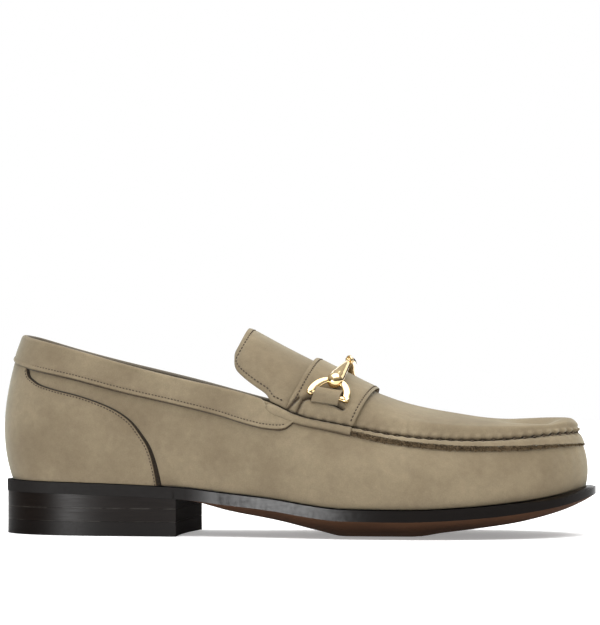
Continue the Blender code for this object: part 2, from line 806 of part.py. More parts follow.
class BitSide:
    """The frame of one side's ring: its foot on the strap, its top, and its axes along and up the strap."""

    def __init__(self, sign):
        along = along_at_seam(BIT_X)
        outer = GAP + STRAP_THICKNESS
        self.foot = off_apron(along, sign * RING_BASE_ACROSS, outer + RING_BASE_HEIGHT)
        self.top = off_apron(along, sign * RING_TOP_ACROSS, outer + RING_TOP_HEIGHT)
        self.joint = off_apron(along, JOINT_ACROSS, outer + JOINT_HEIGHT)
        self.up = (self.top - self.foot).normalized()
        ends = [off_apron(along + step, sign * RING_BASE_ACROSS, outer) for step in (-NUDGE, NUDGE)]
        lengthwise = ends[1] - ends[0]
        self.along = (lengthwise - self.up * lengthwise.dot(self.up)).normalized()

    def place(self, along, up):
        return self.foot + self.along * along + self.up * up


def axes_matrix(origin, x_axis, y_axis, z_axis):
    """A placement in metres from an origin in millimetres and three axes."""
    turned = Matrix((x_axis, y_axis, z_axis)).transposed().to_4x4()
    return Matrix.Translation(origin * MM) @ turned


def ring_points(side):
    """The ring's centre line: an arch from corner to corner, closed by the bar in the leather loop."""
    height = (side.top - side.foot).length
    points = []
    for turn in np.linspace(0, math.pi, RING_ARCH_SPANS + 1):
        up = height * max(0.0, math.sin(turn)) ** RING_ARCH_POWER
        points.append(side.place(RING_HALF_WIDTH * math.cos(turn), up))
    bar = np.linspace(-RING_HALF_WIDTH, RING_HALF_WIDTH, RING_BAR_SPANS + 1)[1:-1]
    return points + [side.place(along, 0.0) for along in bar]


def ring_mesh(name, side, radius):
    curve = bpy.data.curves.new(name, "CURVE")
    curve.dimensions = "3D"
    curve.bevel_depth = radius * MM
    curve.bevel_resolution = RING_SIDES
    spline = curve.splines.new("POLY")
    points = ring_points(side)
    spline.points.add(len(points) - 1)
    for point, place in zip(spline.points, points):
        point.co = (*(place * MM), 1.0)
    spline.use_cyclic_u = True
    made = bpy.data.objects.new(name, curve)
    bpy.context.scene.collection.objects.link(made)
    return mesh_of(made)


def make_ring(name, side, finish):
    """A ring, and the channel that it runs through in its bar."""
    add_object(f"bit_ring_{name}", ring_mesh(f"bit_ring_{name}", side, RING_WIRE_RADIUS), finish)
    channel = ring_mesh(f"ring_channel_{name}", side, RING_WIRE_RADIUS + GAP)
    return add_object(f"ring_channel_{name}", channel, None, "cutters")


def turned_profile(name, points):
    """A solid turned about Z from a profile of (radius, height) points listed from top to bottom."""
    bm = bmesh.new()
    verts = [bm.verts.new((radius, 0, height)) for radius, height in points]
    for first, second in zip(verts, verts[1:]):
        bm.edges.new((first, second))
    return mesh_from(bm, name)


def eye_mesh(name):
    """A small ring in the XZ plane: a circle of wire spun about Y."""
    bm = bmesh.new()
    bmesh.ops.create_circle(bm, segments=EYE_WIRE_SIDES, radius=EYE_WIRE_RADIUS)
    bmesh.ops.translate(bm, verts=bm.verts, vec=(EYE_RADIUS, 0, 0))
    bmesh.ops.spin(
        bm,
        geom=bm.edges[:],
        cent=(0, 0, 0),
        axis=(0, 1, 0),
        angle=2 * math.pi,
        steps=EYE_SIDES,
        use_merge=True,
    )
    bmesh.ops.recalc_face_normals(bm, faces=bm.faces)
    return mesh_from(bm, name)


def make_bar(name, side, channel, eye_axis, finish):
    """Half of the mouthpiece: a cone from a domed bulb round the ring's arch to an eye at the middle."""
    reach = side.joint - side.top
    axis = reach.normalized()
    eye_place = reach.length - EYE_BACK
    tip = eye_place - EYE_RADIUS
    flat = BAR_TIP_RADIUS - BAR_TIP_CHAMFER / 2
    profile = [(0.0, tip), (flat, tip), (BAR_TIP_RADIUS, tip - BAR_TIP_CHAMFER), *BULB_PROFILE]
    bar = add_object(f"bit_bar_{name}", turned_profile(f"bit_bar_{name}", profile), finish)
    sideways = (eye_axis - axis * eye_axis.dot(axis)).normalized()
    bar.matrix_local = axes_matrix(side.top, sideways, axis.cross(sideways), axis)
    screw = bar.modifiers.new("turned", "SCREW")
    screw.steps = screw.render_steps = BAR_SIDES
    screw.use_merge_vertices = True
    screw.merge_threshold = 1e-6
    eye = add_object(f"bar_eye_{name}", eye_mesh(f"bar_eye_{name}"), None, "cutters")
    eye.matrix_local = axes_matrix(side.top + axis * eye_place, sideways, axis.cross(sideways), axis)
    cut(bar, eye, "UNION")
    cut(bar, channel, "DIFFERENCE")


def make_loop(name, sign, finish):
    """The leather loop over the ring's bar, an arch from the strap over the bar and back to the strap."""
    along, across = along_at_seam(BIT_X), sign * RING_BASE_ACROSS
    strap_face = GAP + STRAP_THICKNESS
    along_a_mm = 2 * NUDGE / (apron(along + NUDGE, across) - apron(along - NUDGE, across)).length
    across_a_mm = 2 * NUDGE / (apron(along, across + NUDGE) - apron(along, across - NUDGE)).length

    def place(u, v):
        sideways = LOOP_HALF_WIDTH * (2 * u - 1)
        upward = LOOP_REACH * (2 * v - 1)
        height = strap_face + GAP + LOOP_RISE * (1 - (2 * v - 1) ** 2)
        shifted = across - sign * upward * across_a_mm
        return off_apron(along + sideways * along_a_mm, shifted, height)

    overlay(f"bit_loop_{name}", *LOOP_GRID, place, LOOP_THICKNESS, finish)


def make_bit(metal, leather):
    eye_axes = {"outer": Vector((1, 0, 0)), "inner": Vector((0, 0, 1))}
    for name, sign in (("outer", -1.0), ("inner", 1.0)):
        side = BitSide(sign)
        channel = make_ring(name, side, metal)
        make_bar(name, side, channel, eye_axes[name], metal)
        make_loop(name, sign, leather)


def clear_scene():
    for old in list(bpy.data.objects):
        bpy.data.objects.remove(old)
    for name in ("bit_loafer", "cutters"):
        made = bpy.data.collections.new(name)
        bpy.context.scene.collection.children.link(made)
    frame = bpy.data.objects.new("shoe_frame", None)
    bpy.data.collections["bit_loafer"].objects.link(frame)


def centre_on_floor():
    """Moves the frame so that the origin is under the middle of the shoe's box."""
    bpy.context.view_layer.update()
    graph = bpy.context.evaluated_depsgraph_get()
    corners = []
    for made in bpy.data.collections["bit_loafer"].objects:
        if made.type == "MESH":
            shown = made.evaluated_get(graph)
            corners += [shown.matrix_world @ Vector(corner) for corner in shown.bound_box]
    middle = [(min(c[k] for c in corners) + max(c[k] for c in corners)) / 2 for k in range(2)]
    shift = Vector((-middle[0], -middle[1], 0.0))
    bpy.data.objects["shoe_frame"].location = shift
    for helper in bpy.data.collections["cutters"].objects:
        helper.matrix_world = Matrix.Translation(shift) @ helper.matrix_world


def main():
    clear_scene()
    nubuck = material("taupe_nubuck", TAUPE, 0.9)
    edge_leather = material("dark_sole_leather", DARK_BROWN, 0.35)
    rubber = material("heel_rubber", DARK_BROWN, 0.6)
    gold = material("pale_gold", GOLD, 0.15, 1.0)
    lining = material("insole_leather", LINING_GREY, 0.7)
    make_outsole(edge_leather)
    make_heel(edge_leather, rubber)
    make_insole(lining)
    make_upper(nubuck)
    make_tongue(nubuck)
    make_strap(nubuck)
    make_seam_layers(nubuck)
    make_collar_band(nubuck)
    make_counter(nubuck)
    make_bit(gold, nubuck)
    centre_on_floor()


main()
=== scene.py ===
"""Looks of a bit loafer, right shoe: taupe nubuck on a burnished leather sole, with a pale gold bit.

Lengths are in millimetres in the shoe's own axes: X from the back of the heel to the toe, Y towards the
inner side, Z up from the floor. A finished mesh is moved from there into the frame's metres.
"""

import math

import bmesh
import bpy
import numpy as np
from mathutils import Matrix, Vector


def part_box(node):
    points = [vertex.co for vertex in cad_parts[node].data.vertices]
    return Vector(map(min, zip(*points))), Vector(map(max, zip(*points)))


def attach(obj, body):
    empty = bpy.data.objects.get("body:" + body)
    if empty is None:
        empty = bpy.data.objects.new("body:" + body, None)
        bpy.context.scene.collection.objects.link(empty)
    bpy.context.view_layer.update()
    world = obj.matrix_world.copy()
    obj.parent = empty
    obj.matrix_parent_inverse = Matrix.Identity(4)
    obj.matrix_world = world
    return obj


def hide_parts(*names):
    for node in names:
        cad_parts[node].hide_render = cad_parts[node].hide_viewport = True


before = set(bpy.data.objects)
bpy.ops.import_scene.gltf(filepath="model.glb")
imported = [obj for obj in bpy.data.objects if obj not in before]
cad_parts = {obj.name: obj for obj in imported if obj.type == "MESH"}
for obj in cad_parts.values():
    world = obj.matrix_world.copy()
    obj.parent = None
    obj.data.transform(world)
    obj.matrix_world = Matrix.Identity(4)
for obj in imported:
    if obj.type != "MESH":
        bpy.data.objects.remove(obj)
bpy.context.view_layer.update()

# Outsole
# One thickness of sole leather cut to the outline of the last. Its edge is trimmed square, rounded over at
# the toe, stained almost black and burnished with wax, and its underside keeps the brown of the hide.

MM = 0.001
SOLE_THICKNESS = 5.7
SOLE_SHELF, SOLE_DISH, BELLY_POWER = 0.86, 0.5, 2.2
SOLE_SPANS = (230, 24)
SOLE_EDGE_ROUNDING, SOLE_CRISP_UNTIL = 1.1, 90.0
TOE_EASE_DEPTH, TOE_EASE_WIDTH, TOE_EASE_FROM_X, TOE_EASE_LENGTH = 2.1, 4.5, 255.0, 35.0
TOE_RIM_LIFT, TOE_RIM_WIDTH, TOE_RIM_FROM_X, TOE_RIM_LENGTH = 1.5, 3.0, 280.0, 18.0
SIDE_SAMPLES, TOE_EDGE_SAMPLES, TOE_EDGE_REACH = 600, 500, 0.2
CORNER_ANGLE, CORNER_STEPS = math.radians(45), 3
MERGE_DISTANCE, SMALL_SHARE, SMALL_WIDTH = 1e-3, 1e-4, 1e-6
UNDERSIDE_FACING = -0.5


def table(columns, *rows):
    """The rows of a table as one array for each named column."""
    return {name: np.array([row[i] for row in rows], float) for i, name in enumerate(columns.split())}


# The last round the edge of the sole, along the outer side to the toe and back along the inner side: the
# edge, its reach past the upper, the height of the collar or apron seam, how far that line stands inside
# the foot of the wall, and the wall's swell low down and high up.
LAST = table(
    "x y welt top inset low_out high_out",
    (-1.6, 0, 4.2, 100.4, 5.0, 8.8, 2.5),
    (8.2, -20.4, 2.8, 99.2, 4.9, 7.5, 2.5),
    (30, -31.5, 2.0, 95.2, 4.8, 5.5, 2.0),
    (62, -34.5, 2.0, 87.0, 3.2, 4.5, 1.5),
    (100, -36, 2.0, 77.9, 1.5, 4.0, 2.0),
    (135, -41, 2.2, 69.2, 2.0, 4.5, 2.0),
    (140, -42, 2.2, 67.2, 2.9, 4.6, 2.1),
    (148, -43.8, 2.3, 63.1, 4.7, 4.7, 2.2),
    (165, -47.5, 2.4, 58.3, 9.0, 5.0, 2.5),
    (195, -51.5, 2.6, 52.5, 13.0, 5.0, 2.0),
    (225, -50, 2.8, 49.6, 13.0, 4.5, 2.0),
    (255, -41.5, 3.2, 49.2, 10.5, 4.0, 2.0),
    (280, -27, 4.2, 51.0, 7.0, 3.2, 1.5),
    (294.2, -8.5, 5.0, 52.1, 4.4, 2.6, 1.0),
    (299.2, 7, 5.2, 52.3, 3.8, 2.5, 1.0),
    (294.7, 22, 5.0, 52.1, 4.6, 2.6, 1.0),
    (281, 37, 4.2, 51.0, 7.0, 3.2, 1.5),
    (255, 47, 3.2, 49.3, 10.5, 4.0, 2.0),
    (222, 50.5, 2.8, 50.0, 13.0, 4.5, 2.0),
    (190, 46, 2.6, 54.2, 12.0, 5.0, 2.0),
    (160, 37, 2.4, 60.9, 6.0, 5.0, 2.5),
    (130, 31, 2.2, 67.4, 0.0, 4.5, 3.0),
    (95, 30, 2.0, 76.8, 0.5, 4.0, 2.5),
    (60, 32, 2.0, 85.2, 3.0, 4.5, 1.5),
    (30, 30, 2.0, 92.7, 4.8, 5.5, 2.0),
    (8.2, 20.4, 2.8, 98.5, 4.9, 7.5, 2.5),
)
TOE_ROW = 14

# The sole's underside: the height of its edge and of its middle. Below zero the middle is worn flat.
SOLE = table(
    "x edge middle",
    (-2, 21.6, 21.6),
    (45, 20.8, 20.8),
    (92, 18.9, 18.0),
    (115, 16.4, 11.9),
    (140, 13.8, 7.2),
    (160, 10.8, 2.4),
    (176, 9.2, -0.9),
    (208, 8.9, -0.9),
    (222, 9.3, 1.2),
    (245, 10.7, 4.2),
    (260, 12.2, 6.6),
    (281, 15.5, 12.2),
    (293, 18.6, 17.4),
    (299.2, 21.2, 21.2),
)


def closed_curve(columns):
    """A smooth closed curve through a table, by the share of the way round, and its knots."""
    ring = np.stack([columns["x"], columns["y"]], 1)
    steps = np.linalg.norm(np.roll(ring, -1, 0) - ring, axis=1)
    spans = steps / steps.sum()
    knots = np.concatenate([[0.0], np.cumsum(spans)])
    count = len(spans)
    matrix = np.zeros((count, count))
    for i in range(count):
        matrix[i, i - 1] += spans[i - 1]
        matrix[i, i] += 2 * (spans[i - 1] + spans[i])
        matrix[i, (i + 1) % count] += spans[i]
    pieces = {}
    for name, values in columns.items():
        slopes = (np.roll(values, -1) - values) / spans
        pieces[name] = values, slopes, np.linalg.solve(matrix, 6 * (slopes - np.roll(slopes, 1)))

    def at(share):
        share = np.asarray(share, float) % 1.0
        i = np.clip(np.searchsorted(knots, share, "right") - 1, 0, count - 1)
        t, span = share - knots[i], spans[i]
        found = {}
        for name, (values, slopes, bends) in pieces.items():
            here, there = bends[i], bends[(i + 1) % count]
            first = slopes[i] - span * (2 * here + there) / 6
            found[name] = values[i] + t * (first + t * (here / 2 + t * (there - here) / (6 * span)))
        return found

    return at, knots


def curve_through(places, values):
    """A smooth curve through values at rising places that never overshoots them."""
    places, values = np.asarray(places, float), np.asarray(values, float)
    steps = np.diff(places)
    slopes = np.diff(values) / steps
    tangents = np.concatenate([[slopes[0]], np.zeros(len(slopes) - 1), [slopes[-1]]])
    for i in range(1, len(slopes)):
        if slopes[i - 1] * slopes[i] > 0:
            tangents[i] = 2 * slopes[i - 1] * slopes[i] / (slopes[i - 1] + slopes[i])

    def at(place):
        place = np.clip(place, places[0], places[-1])
        i = np.clip(np.searchsorted(places, place, "right") - 1, 0, len(steps) - 1)
        t, step = (place - places[i]) / steps[i], steps[i]
        start = values[i] * (1 + 2 * t) + tangents[i] * step * t
        end = values[i + 1] * (3 - 2 * t) - tangents[i + 1] * step * (1 - t)
        return start * (1 - t) ** 2 + end * t**2

    return at


last_at, LAST_KNOTS = closed_curve(LAST)
TOE_SHARE = LAST_KNOTS[TOE_ROW]
sole_edge_z = curve_through(SOLE["x"], SOLE["edge"])
sole_middle_z = curve_through(SOLE["x"], SOLE["middle"])


def smooth(value):
    """An even step from 0 to 1."""
    t = np.clip(value, 0.0, 1.0)
    return t * t * (3 - 2 * t)


def between(start, end, share):
    """The value this share of the way from start to end."""
    return start + (end - start) * share


def round_share(along, inner):
    """Where along, from 0 at the heel to 1 at the toe, lies on the way round, on one of the two sides."""
    return 1.0 - along * (1.0 - TOE_SHARE) if inner else along * TOE_SHARE


def outline(share, inside=0.0):
    """Points of the sole's edge, moved inside it along its own normal, as X and Y."""
    here, ahead = last_at(share), last_at(share + SMALL_SHARE)
    run_x, run_y = ahead["x"] - here["x"], ahead["y"] - here["y"]
    run = np.hypot(run_x, run_y)
    return here["x"] - run_y / run * inside, here["y"] + run_x / run * inside


def side_line(inner):
    """One side of the sole's edge as Y over rising X."""
    x, y = outline(round_share(np.linspace(0, 1, SIDE_SAMPLES), inner))
    order = np.argsort(x)
    return x[order], y[order]


OUTER_SIDE, INNER_SIDE = side_line(False), side_line(True)


def across_at(x, y):
    """How far a plan point lies from the sole's middle line, as a share of the half width there."""
    outer, inner = np.interp(x, *OUTER_SIDE), np.interp(x, *INNER_SIDE)
    return np.minimum(1.0, np.abs(2 * y - outer - inner) / np.maximum(inner - outer, SMALL_WIDTH))


def sole_bottom(x, across):
    middle = sole_middle_z(x)
    return np.maximum(0.0, middle + (sole_edge_z(x) - middle) * across**BELLY_POWER)


def sole_top(x, across):
    """The sole's upper face: a shelf round the edge for the upper, and a shallow dish inside it."""
    depth = SOLE_DISH * (sole_edge_z(x) - np.maximum(0.0, sole_middle_z(x)))
    return sole_edge_z(x) + SOLE_THICKNESS - depth * (1 - smooth(across / SOLE_SHELF))


# The frame's origin is under the middle of the shoe, and these axes start at the back of the heel
sole_low, sole_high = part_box("outsole")
sole_ring = outline(np.linspace(0, 1, SIDE_SAMPLES))
SHIFT = Vector(
    (
        sole_low.x / MM - sole_ring[0].min(),
        (sole_low.y + sole_high.y) / MM / 2 - (sole_ring[1].min() + sole_ring[1].max()) / 2,
        0.0,
    )
)


def sheet(columns, rows, place, raw=None):
    """A grid put in place by its two shares from 0 to 1; raw marks how rough it is cut, and in places
    painted shade laid in the same dark colour.
    """
    bm = bmesh.new()
    bmesh.ops.create_grid(bm, x_segments=columns, y_segments=rows, size=0.5)
    u, v = (np.array([vert.co[k] for vert in bm.verts]) + 0.5 for k in range(2))
    # This layer holds the raw mark, which in places also carries painted shade
    roughness = bm.verts.layers.float.new("raw")
    marks = np.zeros(len(u)) if raw is None else raw(u, v)
    for vert, point, mark in zip(bm.verts, place(u, v), marks):
        vert.co = point
        vert[roughness] = mark
    bmesh.ops.remove_doubles(bm, verts=bm.verts, dist=MERGE_DISTANCE)
    return bm


def slab(spans, plan, low, high, rounding, crisp_until=None):
    """A flat piece with a plan given by two shares, between two faces, its edges rounded off.

    Behind crisp_until the lower edge stays sharp, because another piece meets it there.
    """
    bm = sheet(*spans, lambda u, v: np.stack([*plan(u, v), np.zeros(len(u))], 1))
    bottom = bm.verts[:]
    swept = bmesh.ops.extrude_face_region(bm, geom=bm.faces[:])["geom"]
    top = [item for item in swept if isinstance(item, bmesh.types.BMVert)]
    for verts, height in ((bottom, low), (top, high)):
        x, y = (np.array([vert.co[k] for vert in verts]) for k in range(2))
        for vert, z in zip(verts, height(x, y)):
            vert.co.z = z
    bmesh.ops.recalc_face_normals(bm, faces=bm.faces)
    bm.normal_update()
    corners = [edge for edge in bm.edges if edge.calc_face_angle(0.0) > CORNER_ANGLE]
    if crisp_until is not None:
        seat = set(bottom)
        met = {edge for edge in corners if seat.issuperset(edge.verts) and edge.verts[0].co.x < crisp_until}
        corners = [edge for edge in corners if edge not in met]
        for edge in met:
            edge.smooth = False
    bmesh.ops.bevel(
        bm,
        geom=corners,
        offset=rounding,
        affect="EDGES",
        segments=CORNER_STEPS,
        profile=0.5,
        material=-1,
        clamp_overlap=True,
    )
    return bm


def add_piece(bm, name, slot, finishes, *stands_for):
    """A finished bmesh in millimetres as a piece that rides on the shoe's one body."""
    bmesh.ops.translate(bm, verts=bm.verts, vec=SHIFT)
    bmesh.ops.scale(bm, verts=bm.verts, vec=Vector((MM, MM, MM)))
    mesh = bpy.data.meshes.new(name)
    bm.to_mesh(mesh)
    bm.free()
    mesh.shade_smooth()
    for finish in finishes:
        mesh.materials.append(finish)
    piece = bpy.data.objects.new(name, mesh)
    bpy.context.scene.collection.objects.link(piece)
    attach(piece, "root")
    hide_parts(*stands_for)
    return piece


def shade_evenly(piece):
    """Keeps the broad faces of a trimmed piece flat to the eye, and bends the light only at its edges."""
    piece.modifiers.new("even_shading", "WEIGHTED_NORMAL").keep_sharp = True
    return piece


def linear(hex_colour):
    """An sRGB hex colour as linear red, green and blue with alpha."""
    shares = [int(hex_colour[i : i + 2], 16) / 255 for i in (1, 3, 5)]
    return (*(c / 12.92 if c <= 0.04045 else ((c + 0.055) / 1.055) ** 2.4 for c in shares), 1.0)


def add_node(tree, kind, inputs, **settings):
    """Adds a shader node with its settings, and links or sets its inputs."""
    made = tree.nodes.new(kind)
    for name, value in settings.items():
        setattr(made, name, value)
    for socket, value in inputs.items():
        if isinstance(value, bpy.types.NodeSocket):
            tree.links.new(value, made.inputs[socket])
        else:
            made.inputs[socket].default_value = value
    return made


def new_finish(name, **values):
    """A material with its shader's plain values set, its node tree, shader and object coordinates."""
    made = bpy.data.materials.new(name)
    made.use_nodes = True
    tree = made.node_tree
    shader = tree.nodes["Principled BSDF"]
    for socket, value in values.items():
        shader.inputs[socket.replace("_", " ")].default_value = value
    where = add_node(tree, "ShaderNodeTexCoord", {}).outputs["Object"]
    return made, tree, shader, where


def grains(size_mm):
    """A noise scale whose grains measure this much in a mesh in metres."""
    return 1 / (size_mm * MM)


# The colour sockets of a Mix node
MIX_A, MIX_B, MIX_OUT = 6, 7, 2


def lined_finish(name, line_width, line_length, tones, detail=2.0, **values):
    """A finish with level lines of a width and length in millimetres, from a dark to a light tone."""
    made, tree, shader, where = new_finish(name, **values)
    scale = (grains(line_length), grains(line_length), grains(line_width))
    drawn_out = add_node(tree, "ShaderNodeMapping", {"Vector": where, "Scale": scale}).outputs[0]
    lines = add_node(tree, "ShaderNodeTexNoise", {"Vector": drawn_out, "Scale": 1.0, "Detail": detail})
    dark, light = (linear(tone) for tone in tones)
    tone = add_node(
        tree, "ShaderNodeMix", {0: lines.outputs[0], MIX_A: dark, MIX_B: light}, data_type="RGBA"
    )
    tree.links.new(tone.outputs[MIX_OUT], shader.inputs["Base Color"])
    return made, tree, shader, where, lines.outputs[0]


# Burnished edge leather: near black, waxed to a soft shine, with fine polishing lines along the edge that
# break the reflection up. Over the heel it is stained alone, and duller.
POLISH_LINE, POLISH_LINE_LENGTH, WAX_BLOTCH = 0.35, 9.0, 2.2
SATIN_TO_X, SHINY_FROM_X, SATIN = 96.0, 114.0, 0.5
burnished_edge, tree, shader, where, lines = lined_finish(
    "burnished_edge_leather",
    POLISH_LINE,
    POLISH_LINE_LENGTH,
    ("#090605", "#120d0a"),
    IOR=1.5,
    Specular_IOR_Level=0.075,
)
blotches = add_node(
    tree, "ShaderNodeTexNoise", {"Vector": where, "Scale": grains(WAX_BLOTCH), "Detail": 4.0}
)
gloss = add_node(tree, "ShaderNodeMapRange", {0: blotches.outputs[0], 1: 0.3, 2: 0.7, 3: 0.15, 4: 0.2})
along = add_node(tree, "ShaderNodeSeparateXYZ", {0: where}).outputs["X"]
satin = add_node(
    tree,
    "ShaderNodeMapRange",
    {0: along, 1: (SATIN_TO_X + SHIFT.x) * MM, 2: (SHINY_FROM_X + SHIFT.x) * MM, 3: SATIN, 4: 0.0},
)
gloss = add_node(tree, "ShaderNodeMath", {0: gloss.outputs[0], 1: satin.outputs[0]}, operation="ADD")
tree.links.new(gloss.outputs[0], shader.inputs["Roughness"])
relief = add_node(tree, "ShaderNodeBump", {"Strength": 0.05, "Distance": 0.1 * MM, "Height": lines})
tree.links.new(relief.outputs[0], shader.inputs["Normal"])

# Sole leather underneath: a brown hide, smooth and a little waxy, with pores and darker clouds
HIDE_CLOUD, HIDE_PORE = 24.0, 0.9
sole_leather, tree, shader, where = new_finish(
    "brown_sole_leather", IOR=1.45, Roughness=0.8, Specular_IOR_Level=0.04
)
clouds = add_node(
    tree, "ShaderNodeTexNoise", {"Vector": where, "Scale": grains(HIDE_CLOUD), "Detail": 5.0}
)
pores = add_node(tree, "ShaderNodeTexNoise", {"Vector": where, "Scale": grains(HIDE_PORE), "Detail": 3.0})
tone = add_node(
    tree,
    "ShaderNodeMix",
    {0: clouds.outputs[0], MIX_A: linear("#2c1c13"), MIX_B: linear("#4d3423")},
    data_type="RGBA",
)
tree.links.new(tone.outputs[MIX_OUT], shader.inputs["Base Color"])
relief = add_node(
    tree, "ShaderNodeBump", {"Strength": 0.3, "Distance": 0.1 * MM, "Height": pores.outputs[0]}
)
tree.links.new(relief.outputs[0], shader.inputs["Normal"])


def sole_plan(along, side):
    """Plan points between the two edges of the sole, side from 0 on the outer edge to 1 on the inner."""
    (outer_x, outer_y), (inner_x, inner_y) = (outline(round_share(along, inner)) for inner in (False, True))
    return between(outer_x, inner_x, side), between(outer_y, inner_y, side)


toe_shares = np.linspace(TOE_SHARE - TOE_EDGE_REACH, TOE_SHARE + TOE_EDGE_REACH, TOE_EDGE_SAMPLES)
TOE_EDGE = np.stack(outline(toe_shares), 1)


def rounded_top(x, y):
    """The top of the sole, with a rim that is rounded over at the toe, where it reaches past the upper."""
    inside = np.hypot(*(np.stack([x, y])[:, :, None] - TOE_EDGE.T[:, None, :])).min(1)
    lifted = smooth((x - TOE_RIM_FROM_X) / TOE_RIM_LENGTH)
    width = TOE_EASE_WIDTH + TOE_RIM_WIDTH * lifted
    eased = np.maximum(0, 1 - inside / width) ** 2 * smooth((x - TOE_EASE_FROM_X) / TOE_EASE_LENGTH)
    rim = TOE_RIM_LIFT * lifted
    return sole_top(x, across_at(x, y)) + rim - (TOE_EASE_DEPTH + rim) * eased


bm = slab(
    SOLE_SPANS,
    sole_plan,
    lambda x, y: sole_bottom(x, across_at(x, y)),
    rounded_top,
    SOLE_EDGE_ROUNDING,
    SOLE_CRISP_UNTIL,
)
for face in bm.faces:
    face.material_index = 1 if face.normal.z < UNDERSIDE_FACING else 0
shade_evenly(add_piece(bm, "outsole_leather", "sole_leather", [burnished_edge, sole_leather], "outsole"))

# Heel
# Two lifts of stacked leather and a rubber top piece, glued and nailed under the seat of the sole, trimmed
# flush with it and stained with it. Thin pale lines show where one layer meets the next.

GAP = 0.3
HEEL_LAYER_HEIGHTS = (7.2, 14.0)
HEEL_BREAST_OUTER, HEEL_BREAST_INNER, HEEL_BREAST_HOLLOW = 91.0, 94.0, 2.0
HEEL_INSET, BREAST_BLEND = 0.3, 8
HEEL_SPANS = (60, 16)
HEEL_ROUNDING = 0.18
LAYER_GAP = 0.05
BREAST_FACING = 0.8


def wall(share, up):
    """Points of the upper's outer face, by the share of the way round and up from 0 at the sole to 1."""
    row = last_at(share)
    foot_x, foot_y = outline(share, row["welt"])
    foot_z = sole_top(foot_x, across_at(foot_x, foot_y)) + GAP
    down = 1.0 - up
    swell = 3 * down * down * up * row["low_out"] + 3 * down * up * up * row["high_out"]
    x, y = outline(share, row["welt"] - swell + up**3 * row["inset"])
    return np.stack([x, y, foot_z + (row["top"] - foot_z) * up], -1)


ALONG = np.linspace(0, 1, SIDE_SAMPLES)
SEAM_X = wall(round_share(ALONG, False), np.ones(SIDE_SAMPLES))[:, 0]


def along_at_seam(x):
    """How far along the outer side the top of the wall stands at x."""
    return np.interp(x, SEAM_X, ALONG)


HEEL_ALONG = along_at_seam(HEEL_BREAST_OUTER)


def heel_plan(along, side):
    """The heel's plan: the sole's edge, cut off square by a slightly hollow breast."""
    edges = [outline(round_share(along * HEEL_ALONG, inner), HEEL_INSET) for inner in (False, True)]
    ends = [outline(round_share(HEEL_ALONG, inner), HEEL_INSET)[1] for inner in (False, True)]
    breast_x = between(HEEL_BREAST_OUTER, HEEL_BREAST_INNER, side)
    breast_x = breast_x - HEEL_BREAST_HOLLOW * 4 * side * (1 - side)
    breast_y = between(ends[0], ends[1], side)
    back_x, back_y = (between(edges[0][k], edges[1][k], side) for k in range(2))
    share = along**BREAST_BLEND
    return between(back_x, breast_x, share), between(back_y, breast_y, share)


# Stacked heel leather: stained near black and polished, with trimming lines round it and a pale line where
# each layer meets the next
LAYER_LINE, LAYER_LINE_BREAK = 0.2, 7.0
TRIM_LINE, TRIM_LINE_LENGTH = 0.45, 14.0
heel_stack, tree, shader, where, lines = lined_finish(
    "stained_heel_leather",
    TRIM_LINE,
    TRIM_LINE_LENGTH,
    ("#0b0705", "#17100c"),
    detail=3.0,
    IOR=1.5,
    Specular_IOR_Level=0.028,
)
breaks = add_node(
    tree, "ShaderNodeTexNoise", {"Vector": where, "Scale": grains(LAYER_LINE_BREAK), "Detail": 2.0}
)
broken = add_node(tree, "ShaderNodeMapRange", {0: breaks.outputs[0], 1: 0.42, 2: 0.62, 3: 0.0, 4: 0.2})
height = add_node(tree, "ShaderNodeSeparateXYZ", {0: where}).outputs["Z"]
colour = shader.inputs["Base Color"].links[0].from_socket
for joint in HEEL_LAYER_HEIGHTS:
    away = add_node(tree, "ShaderNodeMath", {0: height, 1: joint * MM}, operation="SUBTRACT")
    away = add_node(tree, "ShaderNodeMath", {0: away.outputs[0]}, operation="ABSOLUTE")
    near = add_node(
        tree,
        "ShaderNodeMapRange",
        {0: away.outputs[0], 1: LAYER_LINE * MM, 2: 2 * LAYER_LINE * MM, 3: 1.0, 4: 0.0},
    )
    pale = add_node(
        tree, "ShaderNodeMath", {0: near.outputs[0], 1: broken.outputs[0]}, operation="MULTIPLY"
    )
    lined = add_node(
        tree,
        "ShaderNodeMix",
        {0: pale.outputs[0], MIX_A: colour, MIX_B: linear("#6f6b64")},
        data_type="RGBA",
    )
    colour = lined.outputs[MIX_OUT]
tree.links.new(colour, shader.inputs["Base Color"])
gloss = add_node(tree, "ShaderNodeMapRange", {0: lines, 1: 0.3, 2: 0.7, 3: 0.3, 4: 0.4})
tree.links.new(gloss.outputs[0], shader.inputs["Roughness"])
relief = add_node(tree, "ShaderNodeBump", {"Strength": 0.15, "Distance": 0.1 * MM, "Height": lines})
tree.links.new(relief.outputs[0], shader.inputs["Normal"])


